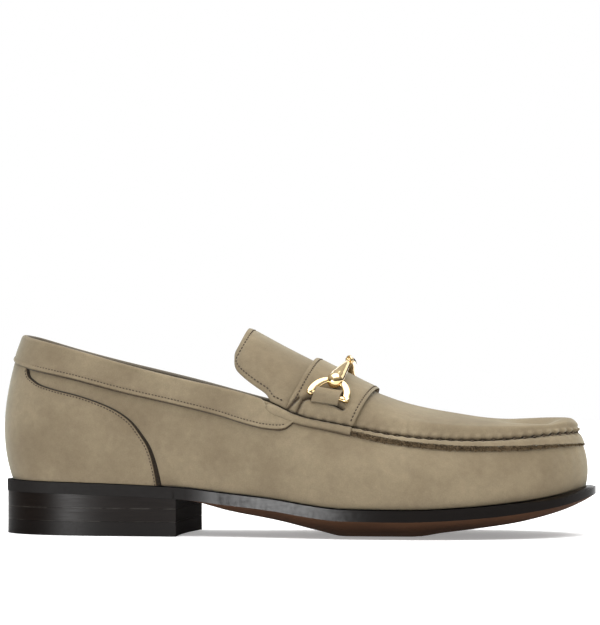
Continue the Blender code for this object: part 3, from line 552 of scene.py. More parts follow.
def grained_finish(name, grain_mm, tones, detail=2.0, gloss=None, relief=None, **values):
    """A finish with one grain, which runs from a dark to a light tone.

    With gloss, its shiniest and dullest roughness, and with relief, its strength and depth in millimetres,
    the grain also moves the shine and the surface.
    """
    made, tree, shader, where = new_finish(name, **values)
    grain = add_node(
        tree, "ShaderNodeTexNoise", {"Vector": where, "Scale": grains(grain_mm), "Detail": detail}
    ).outputs[0]
    dark, light = (linear(tone) for tone in tones)
    tone = add_node(tree, "ShaderNodeMix", {0: grain, MIX_A: dark, MIX_B: light}, data_type="RGBA")
    tree.links.new(tone.outputs[MIX_OUT], shader.inputs["Base Color"])
    if gloss:
        shine = add_node(tree, "ShaderNodeMapRange", {0: grain, 1: 0.3, 2: 0.7, 3: gloss[0], 4: gloss[1]})
        tree.links.new(shine.outputs[0], shader.inputs["Roughness"])
    if relief:
        strength, depth = relief
        bumps = add_node(
            tree, "ShaderNodeBump", {"Strength": strength, "Distance": depth * MM, "Height": grain}
        )
        tree.links.new(bumps.outputs[0], shader.inputs["Normal"])
    return made


# Heel rubber: black moulded rubber, satin, with a faint pebble
PEBBLE = 0.8
heel_rubber = grained_finish(
    "moulded_heel_rubber",
    PEBBLE,
    ("#0b0807", "#15100d"),
    detail=3.0,
    gloss=(0.34, 0.44),
    IOR=1.5,
    Specular_IOR_Level=0.028,
)

# Sanded heel breast: the front of the stack, left dull, almost black, with the sander's level lines
SANDER_LINE, SANDER_LINE_LENGTH = 0.7, 20.0
heel_breast, *_ = lined_finish(
    "sanded_heel_breast",
    SANDER_LINE,
    SANDER_LINE_LENGTH,
    ("#0b0908", "#1d1815"),
    Roughness=0.9,
    Specular_IOR_Level=0.03,
)

low, high = HEEL_LAYER_HEIGHTS
heel_layers = (
    ("heel_top_rubber", 0.0, low - LAYER_GAP, heel_rubber, "heel_rubber", "heel_top_piece"),
    ("heel_lift_low", low + LAYER_GAP, high - LAYER_GAP, heel_stack, "sole_leather", "heel_lift_lower"),
    ("heel_lift_high", high + LAYER_GAP, None, heel_stack, "sole_leather", "heel_lift_upper"),
)
for name, bottom, top, finish, slot, node in heel_layers:
    bm = slab(
        HEEL_SPANS,
        heel_plan,
        lambda x, y: np.full(len(x), bottom),
        lambda x, y: sole_bottom(x, across_at(x, y)) - LAYER_GAP if top is None else np.full(len(x), top),
        HEEL_ROUNDING,
    )
    for face in bm.faces:
        face.material_index = 1 if face.normal.x > BREAST_FACING else 0
    shade_evenly(add_piece(bm, name, slot, [finish, heel_breast], node))

# Insole
# A leather insole on the sole, thicker under the heel, where it stands for a hidden lift. Its smooth lining
# leather shows inside the collar.

UPPER_WALL = 2.0
INSOLE_CLEARANCE, INSOLE_THICKNESS = 0.4, 3.0
LIFT_HEIGHT, LIFT_FRONT_X, LIFT_SLOPE_LENGTH = 10.0, 165.0, 110.0
INSOLE_SPANS = (110, 24)
INSOLE_ROUNDING = 0.8

# Smooth lining leather: grey taupe, close grained, with a low shine
LINING_CLOUD, LINING_CELL = 18.0, 0.9
lining_leather, tree, shader, where = new_finish("smooth_lining_leather", IOR=1.45, Specular_IOR_Level=0.35)
clouds = add_node(
    tree, "ShaderNodeTexNoise", {"Vector": where, "Scale": grains(LINING_CLOUD), "Detail": 4.0}
)
cells = add_node(tree, "ShaderNodeTexVoronoi", {"Vector": where, "Scale": grains(LINING_CELL)})
tone = add_node(
    tree,
    "ShaderNodeMix",
    {0: clouds.outputs[0], MIX_A: linear("#474035"), MIX_B: linear("#5c5345")},
    data_type="RGBA",
)
tree.links.new(tone.outputs[MIX_OUT], shader.inputs["Base Color"])
gloss = add_node(tree, "ShaderNodeMapRange", {0: clouds.outputs[0], 1: 0.3, 2: 0.7, 3: 0.5, 4: 0.66})
tree.links.new(gloss.outputs[0], shader.inputs["Roughness"])
relief = add_node(
    tree, "ShaderNodeBump", {"Strength": 0.3, "Distance": 0.08 * MM, "Height": cells.outputs[0]}
)
tree.links.new(relief.outputs[0], shader.inputs["Normal"])


def insole_plan(along, side):
    edges = []
    for inner in (False, True):
        share = round_share(along, inner)
        edges.append(outline(share, last_at(share)["welt"] + UPPER_WALL + INSOLE_CLEARANCE))
    return tuple(between(edges[0][k], edges[1][k], side) for k in range(2))


def insole_bottom(x, y):
    return sole_top(x, across_at(x, y)) + GAP


def insole_top(x, y):
    lift = LIFT_HEIGHT * smooth((LIFT_FRONT_X - x) / LIFT_SLOPE_LENGTH)
    return insole_bottom(x, y) + INSOLE_THICKNESS + lift


bm = slab(INSOLE_SPANS, insole_plan, insole_bottom, insole_top, INSOLE_ROUNDING)
add_piece(bm, "insole_leather", "insole_leather", [lining_leather], "insole")

# Wall of the upper
# One strip of nubuck right round the foot, drawn in over the insole at its foot, lined with smooth leather.
# It holds a few soft troughs from lasting, and small puckers where it is gathered round the toe.

WALL_SPANS = (460, 44)
NORMAL_STEP, WALL_MARGIN = 0.002, 0.004
FOOT_SINK, WALL_TUCK = 0.03, 0.05
THICK_CORNER_ANGLE = math.radians(50)

# Soft troughs in the wall, seen from the side: middle, half length, half width, turn in degrees, and depth
TROUGHS = table(
    "x z length width turn depth",
    (112, 45, 30, 8, -14, 0.45),
    (146, 40, 26, 7, -32, 0.4),
    (172, 36, 20, 6, 40, 0.3),
    (205, 34, 24, 6, -20, 0.35),
    (236, 30, 22, 6, 18, 0.3),
    (262, 36, 16, 5, 60, 0.35),
    (284, 38, 13, 4, 75, 0.4),
)
PUCKER_PITCH, PUCKER_DEPTH, PUCKER_REACH = 7.5, 0.32, 10.0
PUCKER_START_X, PUCKER_FULL_X = 245.0, 283.0
PUCKER_SWAY, PUCKER_SWAY_RUN, PUCKER_SPREAD = 1.3, 17.0, 20.0
TROUGH_RIM = 0.6

# A line low inside the foot that all of the upper faces away from
AXIS_START_X, AXIS_SHARE, AXIS_Z = 14.0, 0.9, 40.0


def hump(value):
    """A soft hump, 1 at zero and gone by about 2 on either side."""
    return np.exp(-(value**2))


def run_along(points):
    """How far along a line of points each of them lies."""
    return np.concatenate([[0.0], np.cumsum(np.linalg.norm(np.diff(points, axis=0), axis=1))])


def along_of(share):
    """How far along the shoe a place on the way round lies, on either side."""
    share = share % 1.0
    return np.where(share <= TOE_SHARE, share / TOE_SHARE, (1.0 - share) / (1.0 - TOE_SHARE))


def raised(surface, u, v, height):
    """Points this far off a surface, along its normal."""
    along_u = surface(u + NORMAL_STEP, v) - surface(u - NORMAL_STEP, v)
    along_v = surface(u, v + NORMAL_STEP) - surface(u, v - NORMAL_STEP)
    normal = np.cross(along_u, along_v)
    normal /= np.linalg.norm(normal, axis=-1, keepdims=True)
    return surface(u, v) + normal * np.asarray(height)[..., None]


def off_wall(share, up, height):
    return raised(wall, share, np.clip(up, WALL_MARGIN, 1.0 - WALL_MARGIN), height)


def seam(share):
    """Points of the top of the wall, where the collar band or the apron is sewn on."""
    return wall(share, np.ones_like(share))


def up_at_height(share, z):
    """How far up the wall a height lies, as its share from 0 to 1."""
    foot, top = wall(share, np.zeros_like(share))[..., 2], seam(share)[..., 2]
    return (z - foot) / (top - foot)


# How far round the top of the wall each share lies, in millimetres from the heel
ROUND = np.linspace(0, 1, 4 * SIDE_SAMPLES)
SEAM_RUN = run_along(seam(ROUND))


def seam_run(share):
    return np.interp(share % 1.0, ROUND, SEAM_RUN)


def wall_relief(share, up):
    """How far the wall swells or sinks by its troughs and puckers."""
    x, _, z = wall(share, up).T
    relief = np.zeros(len(x))
    for i in range(len(TROUGHS["x"])):
        row = {name: values[i] for name, values in TROUGHS.items()}
        turn = math.radians(row["turn"])
        ahead, above = x - row["x"], z - row["z"]
        lengthwise = (ahead * math.cos(turn) + above * math.sin(turn)) / row["length"]
        sideways = (above * math.cos(turn) - ahead * math.sin(turn)) / row["width"]
        relief -= row["depth"] * hump(lengthwise) * (1 - TROUGH_RIM * sideways**2) * hump(sideways)
    below = (1.0 - up) * (seam(share)[:, 2] - z + PUCKER_SPREAD) / 2
    run = seam_run(share)
    sway = PUCKER_SWAY * np.sin(run / PUCKER_SWAY_RUN)
    wave = 0.5 + 0.5 * np.cos(2 * math.pi * run / PUCKER_PITCH + sway)
    toe = smooth((x - PUCKER_START_X) / (PUCKER_FULL_X - PUCKER_START_X))
    return relief - PUCKER_DEPTH * toe * wave * np.exp(-below / PUCKER_REACH)


def from_axis(point):
    return point - Vector((point.x * AXIS_SHARE + AXIS_START_X, 0.0, AXIS_Z))


def face_outwards(bm):
    """Turns the faces of a sheet away from the foot."""
    bmesh.ops.recalc_face_normals(bm, faces=bm.faces)
    if sum(face.normal.dot(from_axis(face.calc_center_median())) for face in bm.faces) < 0:
        bmesh.ops.reverse_faces(bm, faces=bm.faces)
    return bm


def thicken(piece, thickness, rim, backing=None, inwards=True, rounding=0.0):
    """Gives a sheet its thickness, other finishes on its cut edge and back, and rounded corners."""
    shell = piece.modifiers.new("thickness", "SOLIDIFY")
    shell.thickness = thickness * MM
    shell.offset = -1.0 if inwards else 1.0
    shell.use_even_offset = True
    shell.material_offset_rim = rim
    shell.material_offset = rim if backing is None else backing
    if rounding:
        bevel = piece.modifiers.new("rounded", "BEVEL")
        bevel.width = rounding * MM
        bevel.segments = CORNER_STEPS
        bevel.limit_method = "ANGLE"
        bevel.angle_limit = THICK_CORNER_ANGLE
    return piece


# Taupe nubuck: calf buffed to a short nap, quite matt. It shows soft clouds where the nap lies either way,
# a very fine grain, a pale bloom at its rims, and dark brown fibres where it is cut or folded into a seam.
# The same dark brown is also laid as painted shade, deep in the apron seam's groove and in the pinched
# crease at the tip of each seam strip. Where the mark passes 1, at the counter's front edge, it is darkened
# further as painted shade of the gap beside that edge.
# The nap is drawn coarser than the real one, so that it shows.
NAP_SIZE, BRUSH_SIZE, CLOUD_SIZE, PATCH_SIZE = 0.55, 3.0, 8.0, 32.0
nubuck, tree, shader, where = new_finish(
    "taupe_nubuck",
    IOR=1.45,
    Roughness=0.9,
    Specular_IOR_Level=0.12,
    Sheen_Weight=0.45,
    Sheen_Roughness=0.4,
    Sheen_Tint=linear("#d0d8cf"),
)
patches = add_node(
    tree, "ShaderNodeTexNoise", {"Vector": where, "Scale": grains(PATCH_SIZE), "Detail": 3.0}
)
clouds = add_node(
    tree,
    "ShaderNodeTexNoise",
    {"Vector": where, "Scale": grains(CLOUD_SIZE), "Detail": 5.0, "Distortion": 0.9},
)
nap = add_node(tree, "ShaderNodeTexNoise", {"Vector": where, "Scale": grains(NAP_SIZE), "Detail": 3.0})
lie = add_node(tree, "ShaderNodeMapRange", {0: patches.outputs[0], 1: 0.35, 2: 0.65, 3: 0.0, 4: 1.0})
tone = add_node(
    tree,
    "ShaderNodeMix",
    {0: lie.outputs[0], MIX_A: linear("#746752"), MIX_B: linear("#867962")},
    data_type="RGBA",
)
cloudy = add_node(tree, "ShaderNodeMapRange", {0: clouds.outputs[0], 1: 0.4, 2: 0.7, 3: 0.0, 4: 0.35})
tone = add_node(
    tree,
    "ShaderNodeMix",
    {0: cloudy.outputs[0], MIX_A: tone.outputs[MIX_OUT], MIX_B: linear("#6f624f")},
    data_type="RGBA",
)
brushed = add_node(
    tree, "ShaderNodeTexNoise", {"Vector": where, "Scale": grains(BRUSH_SIZE), "Detail": 4.0}
)
strokes = add_node(tree, "ShaderNodeMapRange", {0: brushed.outputs[0], 1: 0.3, 2: 0.7, 3: 0.95, 4: 1.05})
fibres = add_node(tree, "ShaderNodeMapRange", {0: nap.outputs[0], 1: 0.3, 2: 0.7, 3: 0.92, 4: 1.08})
shades = add_node(
    tree, "ShaderNodeMath", {0: strokes.outputs[0], 1: fibres.outputs[0]}, operation="MULTIPLY"
)
tone = add_node(
    tree, "ShaderNodeVectorMath", {0: tone.outputs[MIX_OUT], "Scale": shades.outputs[0]}, operation="SCALE"
)
strands = add_node(tree, "ShaderNodeMapRange", {0: nap.outputs[0], 1: 0.35, 2: 0.68, 3: 0.0, 4: 1.0})
fibre_and_shade_tone = add_node(
    tree,
    "ShaderNodeMix",
    {0: strands.outputs[0], MIX_A: linear("#1c130b"), MIX_B: linear("#4d3d2b")},
    data_type="RGBA",
)
# The raw mark: dark fibres at cut edges, and in places painted shade in the same dark colour
cut = add_node(tree, "ShaderNodeAttribute", {}, attribute_name="raw").outputs["Fac"]
# Past a mark of 1 the fibre colour is darkened further, as painted shade of the gap beside the counter's
# edge
gap_shade_darkening = add_node(tree, "ShaderNodeMapRange", {0: cut, 1: 1.0, 2: 2.0, 3: 1.0, 4: 0.1})
fibre_and_shade_tone = add_node(
    tree, "ShaderNodeVectorMath", {0: fibre_and_shade_tone.outputs[MIX_OUT], "Scale": gap_shade_darkening.outputs[0]}, operation="SCALE"
)
tone = add_node(
    tree, "ShaderNodeMix", {0: cut, MIX_A: tone.outputs[0], MIX_B: fibre_and_shade_tone.outputs[0]}, data_type="RGBA"
)
tree.links.new(tone.outputs[MIX_OUT], shader.inputs["Base Color"])
relief = add_node(
    tree, "ShaderNodeBump", {"Strength": 0.25, "Distance": 0.1 * MM, "Height": nap.outputs[0]}
)
tree.links.new(relief.outputs[0], shader.inputs["Normal"])

# Raw cut edge: the fibres of the hide, dark brown and rough
FIBRE = 0.5
raw_edge = grained_finish(
    "raw_cut_edge",
    FIBRE,
    ("#33281b", "#75634a"),
    detail=4.0,
    relief=(0.6, 0.2),
    Roughness=0.95,
    Specular_IOR_Level=0.1,
)

LEATHERS = [nubuck, raw_edge, lining_leather]
RIM, BACK = 1, 2


def wall_point(u, v):
    up = v * (1 + FOOT_SINK) - FOOT_SINK
    return off_wall(u, up, wall_relief(u, np.clip(up, 0, 1)) - WALL_TUCK)


bm = face_outwards(sheet(*WALL_SPANS, wall_point))
vamp_wall = add_piece(bm, "vamp_and_quarters", "taupe_nubuck", LEATHERS, "upper")
thicken(vamp_wall, UPPER_WALL, RIM, BACK)

# Apron
# The plug of nubuck over the toe, sewn by hand to the wall. It stands up from the seam, is pulled into
# small scallops between the stitches, and dishes slightly behind the raised rim of the toe.

THROAT_X = 160.0
APRON_SPANS = (250, 84)
STITCH_PITCH = 5.4
SEAM_DEPTH, SEAM_WIDTH, SEAM_CROWDING = 1.6, 0.9, 1.8
SEAM_DROOP, DROOP_WIDTH = 0.7, 1.6
# Painted shade deep in the seam's groove, in the dark brown of the cut fibres: its strength and width
SEAM_GROOVE_SHADE, SEAM_GROOVE_SHADE_WIDTH = 0.6, 0.8
SHOULDER_LIFT, SHOULDER_PLACE, SHOULDER_WIDTH = 0.55, 8.5, 2.4
SHOULDER_FROM_X, SHOULDER_FADE = 186.0, 0.06
SCALLOP_HEIGHT, SCALLOP_PLACE, SCALLOP_WIDTH = 1.0, 1.7, 1.5
APRON_WALL = 1.6

# How far the top of the apron rounds off at its front, and the dent and the deeper dish behind the toe's rim
SAG = table("x depth", (270, 0.0), (282, 0.3), (286, 0.7), (290, 2.0))
SAG_FROM_Z, SAG_FADE = 53.5, 4.0
DENT_X, DENT_Y, DENT_LENGTH, DENT_WIDTH, DENT_DEPTH = 270.0, -10.0, 15.0, 17.0, 1.5
DISH_X, DISH_Y, DISH_LENGTH, DISH_WIDTH, DISH_DEPTH = 267.0, 1.0, 12.0, 13.0, 2.2

# The ridge of the tongue and apron, seen from the side
CREST = table(
    "x z",
    (118, 108.0),
    (124, 105.0),
    (141.8, 95.4),
    (158, 87.3),
    (170, 81.3),
    (182.7, 74.9),
    (190.3, 71.4),
    (206.6, 66.2),
    (219, 63.5),
    (231, 61.5),
    (243, 59.6),
    (255, 58.1),
    (268, 57.6),
)

# The apron, as hoops from seam to ridge: where each stands on the seam and on the ridge, how steeply it
# leaves the seam, how flat it is across the top, and how far it fans out round the toe
APRON = table(
    "seam_x ridge_x rise slope reach crown fan",
    (139.5, 150.5, 13.0, 28, 0.62, 0.0, 0.0),
    (164.0, 173.5, 12.0, 25, 0.60, 0.0, 0.0),
    (181.0, 188.5, 11.0, 22, 0.58, 0.0, 0.0),
    (208.0, 213.0, 7.8, 13, 0.74, -2.2, 0.0),
    (241.0, 240.0, 7.8, 6, 0.82, -1.0, 0.3),
    (268.0, 258.0, 9.8, 2, 0.86, 1.2, 0.8),
    (292.0, 268.0, 12.0, 0, 0.86, 1.9, 1.0),
)

# A hoop's control points: three up each side, with the ridge between them
HOOP_POINTS, RIDGE = 7, 3
crest_z = curve_through(CREST["x"], CREST["z"])
APRON_ALONG = [*along_at_seam(APRON["seam_x"][:-1]), 1.0]
apron_at = {name: curve_through(APRON_ALONG, values) for name, values in APRON.items()}
THROAT = along_at_seam(THROAT_X)


def hoop_points(edges, ridge, rise, slope, reach, crown, fan):
    """The seven control points of hoops from one edge over the ridge to the other."""
    flat = np.zeros_like(rise)
    up = np.stack([np.sin(np.radians(slope)) * rise, flat, np.cos(np.radians(slope)) * rise], -1)
    halves = []
    for edge in edges:
        run = edge - ridge
        shoulder = ridge + np.stack([run[..., 0] * fan * reach, run[..., 1] * reach, crown], -1)
        halves.append([edge, edge + up, shoulder])
    return [*halves[0], ridge, *reversed(halves[1])]


def apron_hoops(along):
    edges = [seam(round_share(along, inner)) for inner in (False, True)]
    shape = {name: at(along) for name, at in apron_at.items()}
    x = shape["ridge_x"]
    ridge = np.stack([x, (edges[0][..., 1] + edges[1][..., 1]) / 2, crest_z(x)], -1)
    return hoop_points(edges, ridge, *(shape[name] for name in ("rise", "slope", "reach", "crown", "fan")))


def on_hoop(points, across):
    """Points of hoops, from -1 at the outer edge over 0 at the ridge to 1 at the inner edge."""
    outer = (across < 0)[..., None]
    near = [np.where(outer, points[k], points[-1 - k]) for k in range(RIDGE + 1)]
    t = (1.0 - np.abs(across))[..., None]
    low = near[0] * (1 - t) ** 3 + near[1] * 3 * t * (1 - t) ** 2
    return low + near[2] * 3 * t * t * (1 - t) + near[3] * t**3


def apron(along, across):
    return on_hoop(apron_hoops(along), across)


def off_apron(along, across, height):
    return raised(apron, along, across, height)


def stitch_phase(along, across):
    """A wave along the seam, from 0 at each stitch to 1 halfway between two."""
    share = np.where(across < 0, along * TOE_SHARE, 1.0 - along * (1.0 - TOE_SHARE))
    return 0.5 - 0.5 * np.cos(2 * math.pi * seam_run(share) / STITCH_PITCH)


def toward_seam(v):
    """Rows from edge to edge that crowd together at both seams, as places across."""
    side = 2 * v - 1
    return np.sign(side) * (1 - (1 - np.abs(side)) ** SEAM_CROWDING)


def from_seam(along, across):
    """How far up from the seam a place lies, in millimetres, near the seam."""
    return 3 * apron_at["rise"](along) * (1 - np.abs(across))


sag_at = curve_through(SAG["x"], SAG["depth"])


def apron_point(u, v):
    along, across = between(THROAT, 1, u), toward_seam(v)
    up, phase = from_seam(along, across), stitch_phase(along, across)
    sunk = SEAM_DEPTH * hump(up / SEAM_WIDTH)
    puff = SCALLOP_HEIGHT * phase * hump((up - SCALLOP_PLACE) / SCALLOP_WIDTH)
    shoulder = SHOULDER_LIFT * hump((up - SHOULDER_PLACE) / SHOULDER_WIDTH)
    shoulder = shoulder * smooth((along - along_at_seam(SHOULDER_FROM_X)) / SHOULDER_FADE)
    points = off_apron(along, across, puff - sunk + shoulder)
    points[:, 2] -= SEAM_DROOP * phase * hump(up / DROOP_WIDTH)
    x, y, z = points.T
    dent = np.exp(-(((x - DENT_X) / DENT_LENGTH) ** 2) - ((y - DENT_Y) / DENT_WIDTH) ** 2)
    dish = np.exp(-(((x - DISH_X) / DISH_LENGTH) ** 4) - ((y - DISH_Y) / DISH_WIDTH) ** 4)
    lowered = sag_at(x) + DENT_DEPTH * dent + DISH_DEPTH * dish
    points[:, 2] -= lowered * smooth((z - SAG_FROM_Z) / SAG_FADE)
    return points


# Painted shade of the seam's groove, laid on the apron close to the seam
def apron_groove_shade(u, v):
    up = from_seam(between(THROAT, 1, u), toward_seam(v))
    return SEAM_GROOVE_SHADE * hump(up / (SEAM_GROOVE_SHADE_WIDTH * SEAM_WIDTH))


bm = face_outwards(sheet(*APRON_SPANS, apron_point, apron_groove_shade))
apron_piece = add_piece(bm, "apron_plug", "taupe_nubuck", LEATHERS, "upper")
thicken(apron_piece, APRON_WALL, RIM, BACK)

# Seam roll
# The edge of the wall, turned outwards along the apron seam. Its top is nubuck, and its cut edge below is
# left raw, so that the dark fibres of the hide show as a rough band.

STRAP_FRONT_X = 181.0
ROLL_SPANS = (620, 26)
ROLL_LIFT, ROLL_PINCH, ROLL_PINCH_REACH = 0.2, 0.7, 1.6
RAW_FROM = 0.7
FUZZ_SEED, FUZZ_SIZE = 7, 0.3

# The roll along the shoe: its height below the seam, how much of that is the raw edge, and how full it is
ROLL = table(
    "x height raw full",
    (181, 3.7, 1.2, 1.0),
    (195, 4.0, 1.2, 1.0),
    (225, 4.6, 1.1, 1.0),
    (252, 5.1, 1.0, 1.0),
    (275, 5.9, 0.8, 0.8),
    (292, 6.4, 0.5, 0.32),
)
ROLL_ALONG = along_at_seam(ROLL["x"])
roll_height = curve_through(ROLL_ALONG, ROLL["height"])
roll_raw = curve_through(ROLL_ALONG, ROLL["raw"])
roll_full = curve_through(ROLL_ALONG, ROLL["full"])

# The section through the roll: places in its nubuck top, then in its raw edge, as shares of each, with how
# far it stands off the wall and how raw it looks
ROLL_TOP = table(
    "share off raw",
    (0.0, -1.0, 1.0),
    (0.08, 0.2, 0.5),
    (0.25, 1.5, 0.0),
    (0.6, 2.1, 0.0),
    (1.0, 2.1, 0.0),
)
ROLL_RAW = table(
    "share off raw",
    (0.0, 2.1, 0.0),
    (0.2, 1.9, 0.8),
    (0.6, 1.5, 1.0),
    (1.0, 0.9, 1.0),
    (1.02, -0.3, 1.0),
)
ROLL_TOP_ROWS = 0.5

roll_ends = [round_share(along_at_seam(STRAP_FRONT_X), inner) for inner in (False, True)]
fuzz = np.random.default_rng(FUZZ_SEED)


def by_section(v, name):
    top = np.interp(v / ROLL_TOP_ROWS, ROLL_TOP["share"], ROLL_TOP[name])
    in_raw = (v - ROLL_TOP_ROWS) / (1 - ROLL_TOP_ROWS) * ROLL_RAW["share"][-1]
    raw = np.interp(in_raw, ROLL_RAW["share"], ROLL_RAW[name])
    return np.where(v < ROLL_TOP_ROWS, top, raw)


def roll_point(u, v):
    share = between(*roll_ends, u)
    along = along_of(share)
    whole, raw = roll_height(along), roll_raw(along)
    in_top = np.minimum(v / ROLL_TOP_ROWS, 1)
    in_raw = np.maximum(0, (v - ROLL_TOP_ROWS) / (1 - ROLL_TOP_ROWS))
    below = ROLL_LIFT + (whole - raw - ROLL_LIFT) * in_top + raw * in_raw
    pinch = ROLL_PINCH * (1 - stitch_phase(along, np.where(share <= TOE_SHARE, -1.0, 1.0)))
    full = by_section(v, "off") * roll_full(along) ** (1 + 2 * in_raw)
    off = full - pinch * hump(below / ROLL_PINCH_REACH)
    rough = by_section(v, "raw") * (v > ROLL_TOP_ROWS)
    shake = fuzz.normal(0.0, FUZZ_SIZE, (2, len(u))) * rough
    z = seam(share)[:, 2] - below - shake[0]
    return off_wall(share, up_at_height(share, z), off + shake[1])


bm = face_outwards(sheet(*ROLL_SPANS, roll_point, lambda u, v: by_section(v, "raw")))
frayed_at = bm.verts.layers.float["raw"]
for face in bm.faces:
    face.material_index = RIM if min(vert[frayed_at] for vert in face.verts) > RAW_FROM else 0
add_piece(bm, "seam_roll_raw_edge", "taupe_nubuck", LEATHERS, "seam_roll")

# Hand stitches of the apron seam
# A thick waxed thread that gathers the apron onto the roll. It shows as one short dark stitch in each
# pinch, and carries on along the seam strips under the strap.

HAND_STITCH_LENGTH, HAND_THREAD = 2.0, 0.55
SEAM_BACK_X = 147.5
STITCH_SIDES, STITCH_RINGS, ROW_END = 8, 6, 0.3
SEAM_SAMPLES, SEAM_OUT_UP, HAND_SINK = 3000, 0.97, 0.1

# Waxed thread: twisted flax, brown, with a dull shine
TWIST = 0.5
waxed_thread = grained_finish(
    "waxed_brown_thread", TWIST, ("#35281b", "#5a4936"), Roughness=0.6, Specular_IOR_Level=0.3
)


def points_at(places, run, line):
    """Points of a line at places along its run."""
    return np.stack([np.interp(places, run, line[:, k]) for k in range(line.shape[1])], 1)


def stitch_row(bm, places, normals, pitch, length, radius, sink=0.0, first=0.5):
    """Adds one long bead for each stitch along a line of places with their normals."""
    run = run_along(places)
    at = np.arange(first * pitch, run[-1] - ROW_END * pitch, pitch)
    middles, backs, fronts = (points_at(at + end, run, places) for end in (0.0, -length / 2, length / 2))
    for middle, back, front, up in zip(middles, backs, fronts, points_at(at, run, normals)):
        lengthwise = Vector(front - back).normalized()
        up = Vector(up).normalized()
        side = up.cross(lengthwise).normalized()
        up = lengthwise.cross(side)
        axes = Matrix((side * radius, up * radius, lengthwise * length / 2)).transposed().to_4x4()
        seat = Matrix.Translation(Vector(middle) - up * sink)
        bmesh.ops.create_uvsphere(
            bm, u_segments=STITCH_SIDES, v_segments=STITCH_RINGS, radius=1.0, matrix=seat @ axes
        )


def line_on(surface, u, v, height):
    """A line of places on a surface, with its normals."""
    low, high = (raised(surface, u, v, np.full(len(u), off)) for off in (height, height + 1.0))
    return low, high - low


seam_along = along_at_seam(SEAM_BACK_X)
run_shares = np.linspace(round_share(seam_along, False), round_share(seam_along, True), SEAM_SAMPLES)
seam_up = np.full(SEAM_SAMPLES, SEAM_OUT_UP)
seam_out = off_wall(run_shares, seam_up, 1.0) - off_wall(run_shares, seam_up, 0.0)
start_phase = (-seam_run(run_shares[0]) / STITCH_PITCH) % 1.0
bm = bmesh.new()
stitch_row(
    bm,
    seam(run_shares),
    seam_out,
    STITCH_PITCH,
    HAND_STITCH_LENGTH,
    HAND_THREAD,
    HAND_SINK,
    start_phase,
)
add_piece(bm, "seam_hand_stitches", "taupe_nubuck", [waxed_thread])

# Collar band
# A folded band of nubuck round the mouth of the shoe. It is turned over the top edge onto the lining, and
# its raw lower edge is stitched down to the quarters with a fine thread.

COLLAR_FRONT_X = 139.5
BAND_FRONT_X = 152.0
BAND_SPANS = (460, 44)
BAND_OFF, BAND_TURN_IN, BAND_BACK_OFF = 1.45, 9.0, 0.25
FOLD_RADIUS, FOLD_RISE, FOLD_TOP_UP = 1.9, 0.3, 1.02
BAND_BEVEL, BAND_EDGE_OFF, BAND_LEAST_HEIGHT = 0.65, 0.1, 0.5
LIP_HEIGHT, LIP_ABOVE, LIP_WIDTH = 0.25, 0.7, 0.8
BAND_FLARE, BAND_FLARE_LENGTH = 0.9, 16.0
BAND_STITCH_ABOVE, FINE_PITCH, FINE_LENGTH, FINE_THREAD = 1.9, 1.7, 1.2, 0.33
FURROW_DEPTH, FURROW_WIDTH = 0.22, 0.7
LINE_SAMPLES, BAND_STITCH_ENDS = 1500, (0.012, 0.988)

# The lower edge of the collar band, seen from the side
BAND_EDGE = table(
    "x z",
    (0, 88.4),
    (11, 85.6),
    (36, 79.6),
    (64, 72.5),
    (90, 66.9),
    (114, 61.3),
    (127, 57.5),
    (138.5, 55.0),
    (145, 54.5),
    (148.3, 55.1),
    (150.2, 56.4),
    (152, 58.4),
)
band_edge_z = curve_through(along_at_seam(BAND_EDGE["x"]), BAND_EDGE["z"])
band_front = along_at_seam(BAND_FRONT_X)
band_ends = [round_share(band_front, False), round_share(band_front, True) - 1.0]

# The section through the band: its rows, as the cut edge, the face, the fold and the turned-in back
BAND_ROWS = (0.0, 0.1, 0.62, 0.86, 1.0)
BAND_RAW_UNTIL, BAND_RAW_FADE, LINING_FADE = 0.8, 0.01, 0.001

# The front of the band, which is flattened under the tongue and strap: how far behind the collar's front
# that starts, how soon it is complete, how far the top drops, and how much of the fold's height goes
COVER_LENGTH, COVER_FADE, COVER_DROP, COVER_FLATTEN = 5.0, 0.012, 2.0, 0.7


def band_share(u):
    return between(*band_ends, u) % 1.0


def band_point(u, v):
    share = band_share(u)
    along = along_of(share)
    top_x, _, top_z = seam(share).T
    covered = smooth((along - along_at_seam(COLLAR_FRONT_X - COVER_LENGTH)) / COVER_FADE)
    face_top = top_z - FOLD_RADIUS + FOLD_RISE - covered * COVER_DROP
    low = np.minimum(band_edge_z(along), face_top - BAND_LEAST_HEIGHT)
    edge, face, fold, back = (np.clip((v - a) / (b - a), 0, 1) for a, b in zip(BAND_ROWS, BAND_ROWS[1:]))
    z = low + (face_top - low) * face - BAND_BEVEL * (1 - edge)
    above = z - low
    flare = BAND_FLARE * hump(top_x / BAND_FLARE_LENGTH) * (1 - face)
    furrow = FURROW_DEPTH * hump((above - BAND_STITCH_ABOVE) / FURROW_WIDTH)
    lip = LIP_HEIGHT * hump((above - LIP_ABOVE) / LIP_WIDTH)
    turn = math.pi * fold
    reach = (BAND_OFF + UPPER_WALL + BAND_BACK_OFF) / 2
    off = between(BAND_EDGE_OFF, BAND_OFF + flare, edge) - furrow * edge + lip * edge
    off = np.where(fold > 0, BAND_OFF - reach * (1 - np.cos(turn)), off)
    z = z + FOLD_RADIUS * np.sin(turn) * (1 - COVER_FLATTEN * covered) - BAND_TURN_IN * back
    return raised(wall, share, np.clip(up_at_height(share, z), WALL_MARGIN, FOLD_TOP_UP), off)


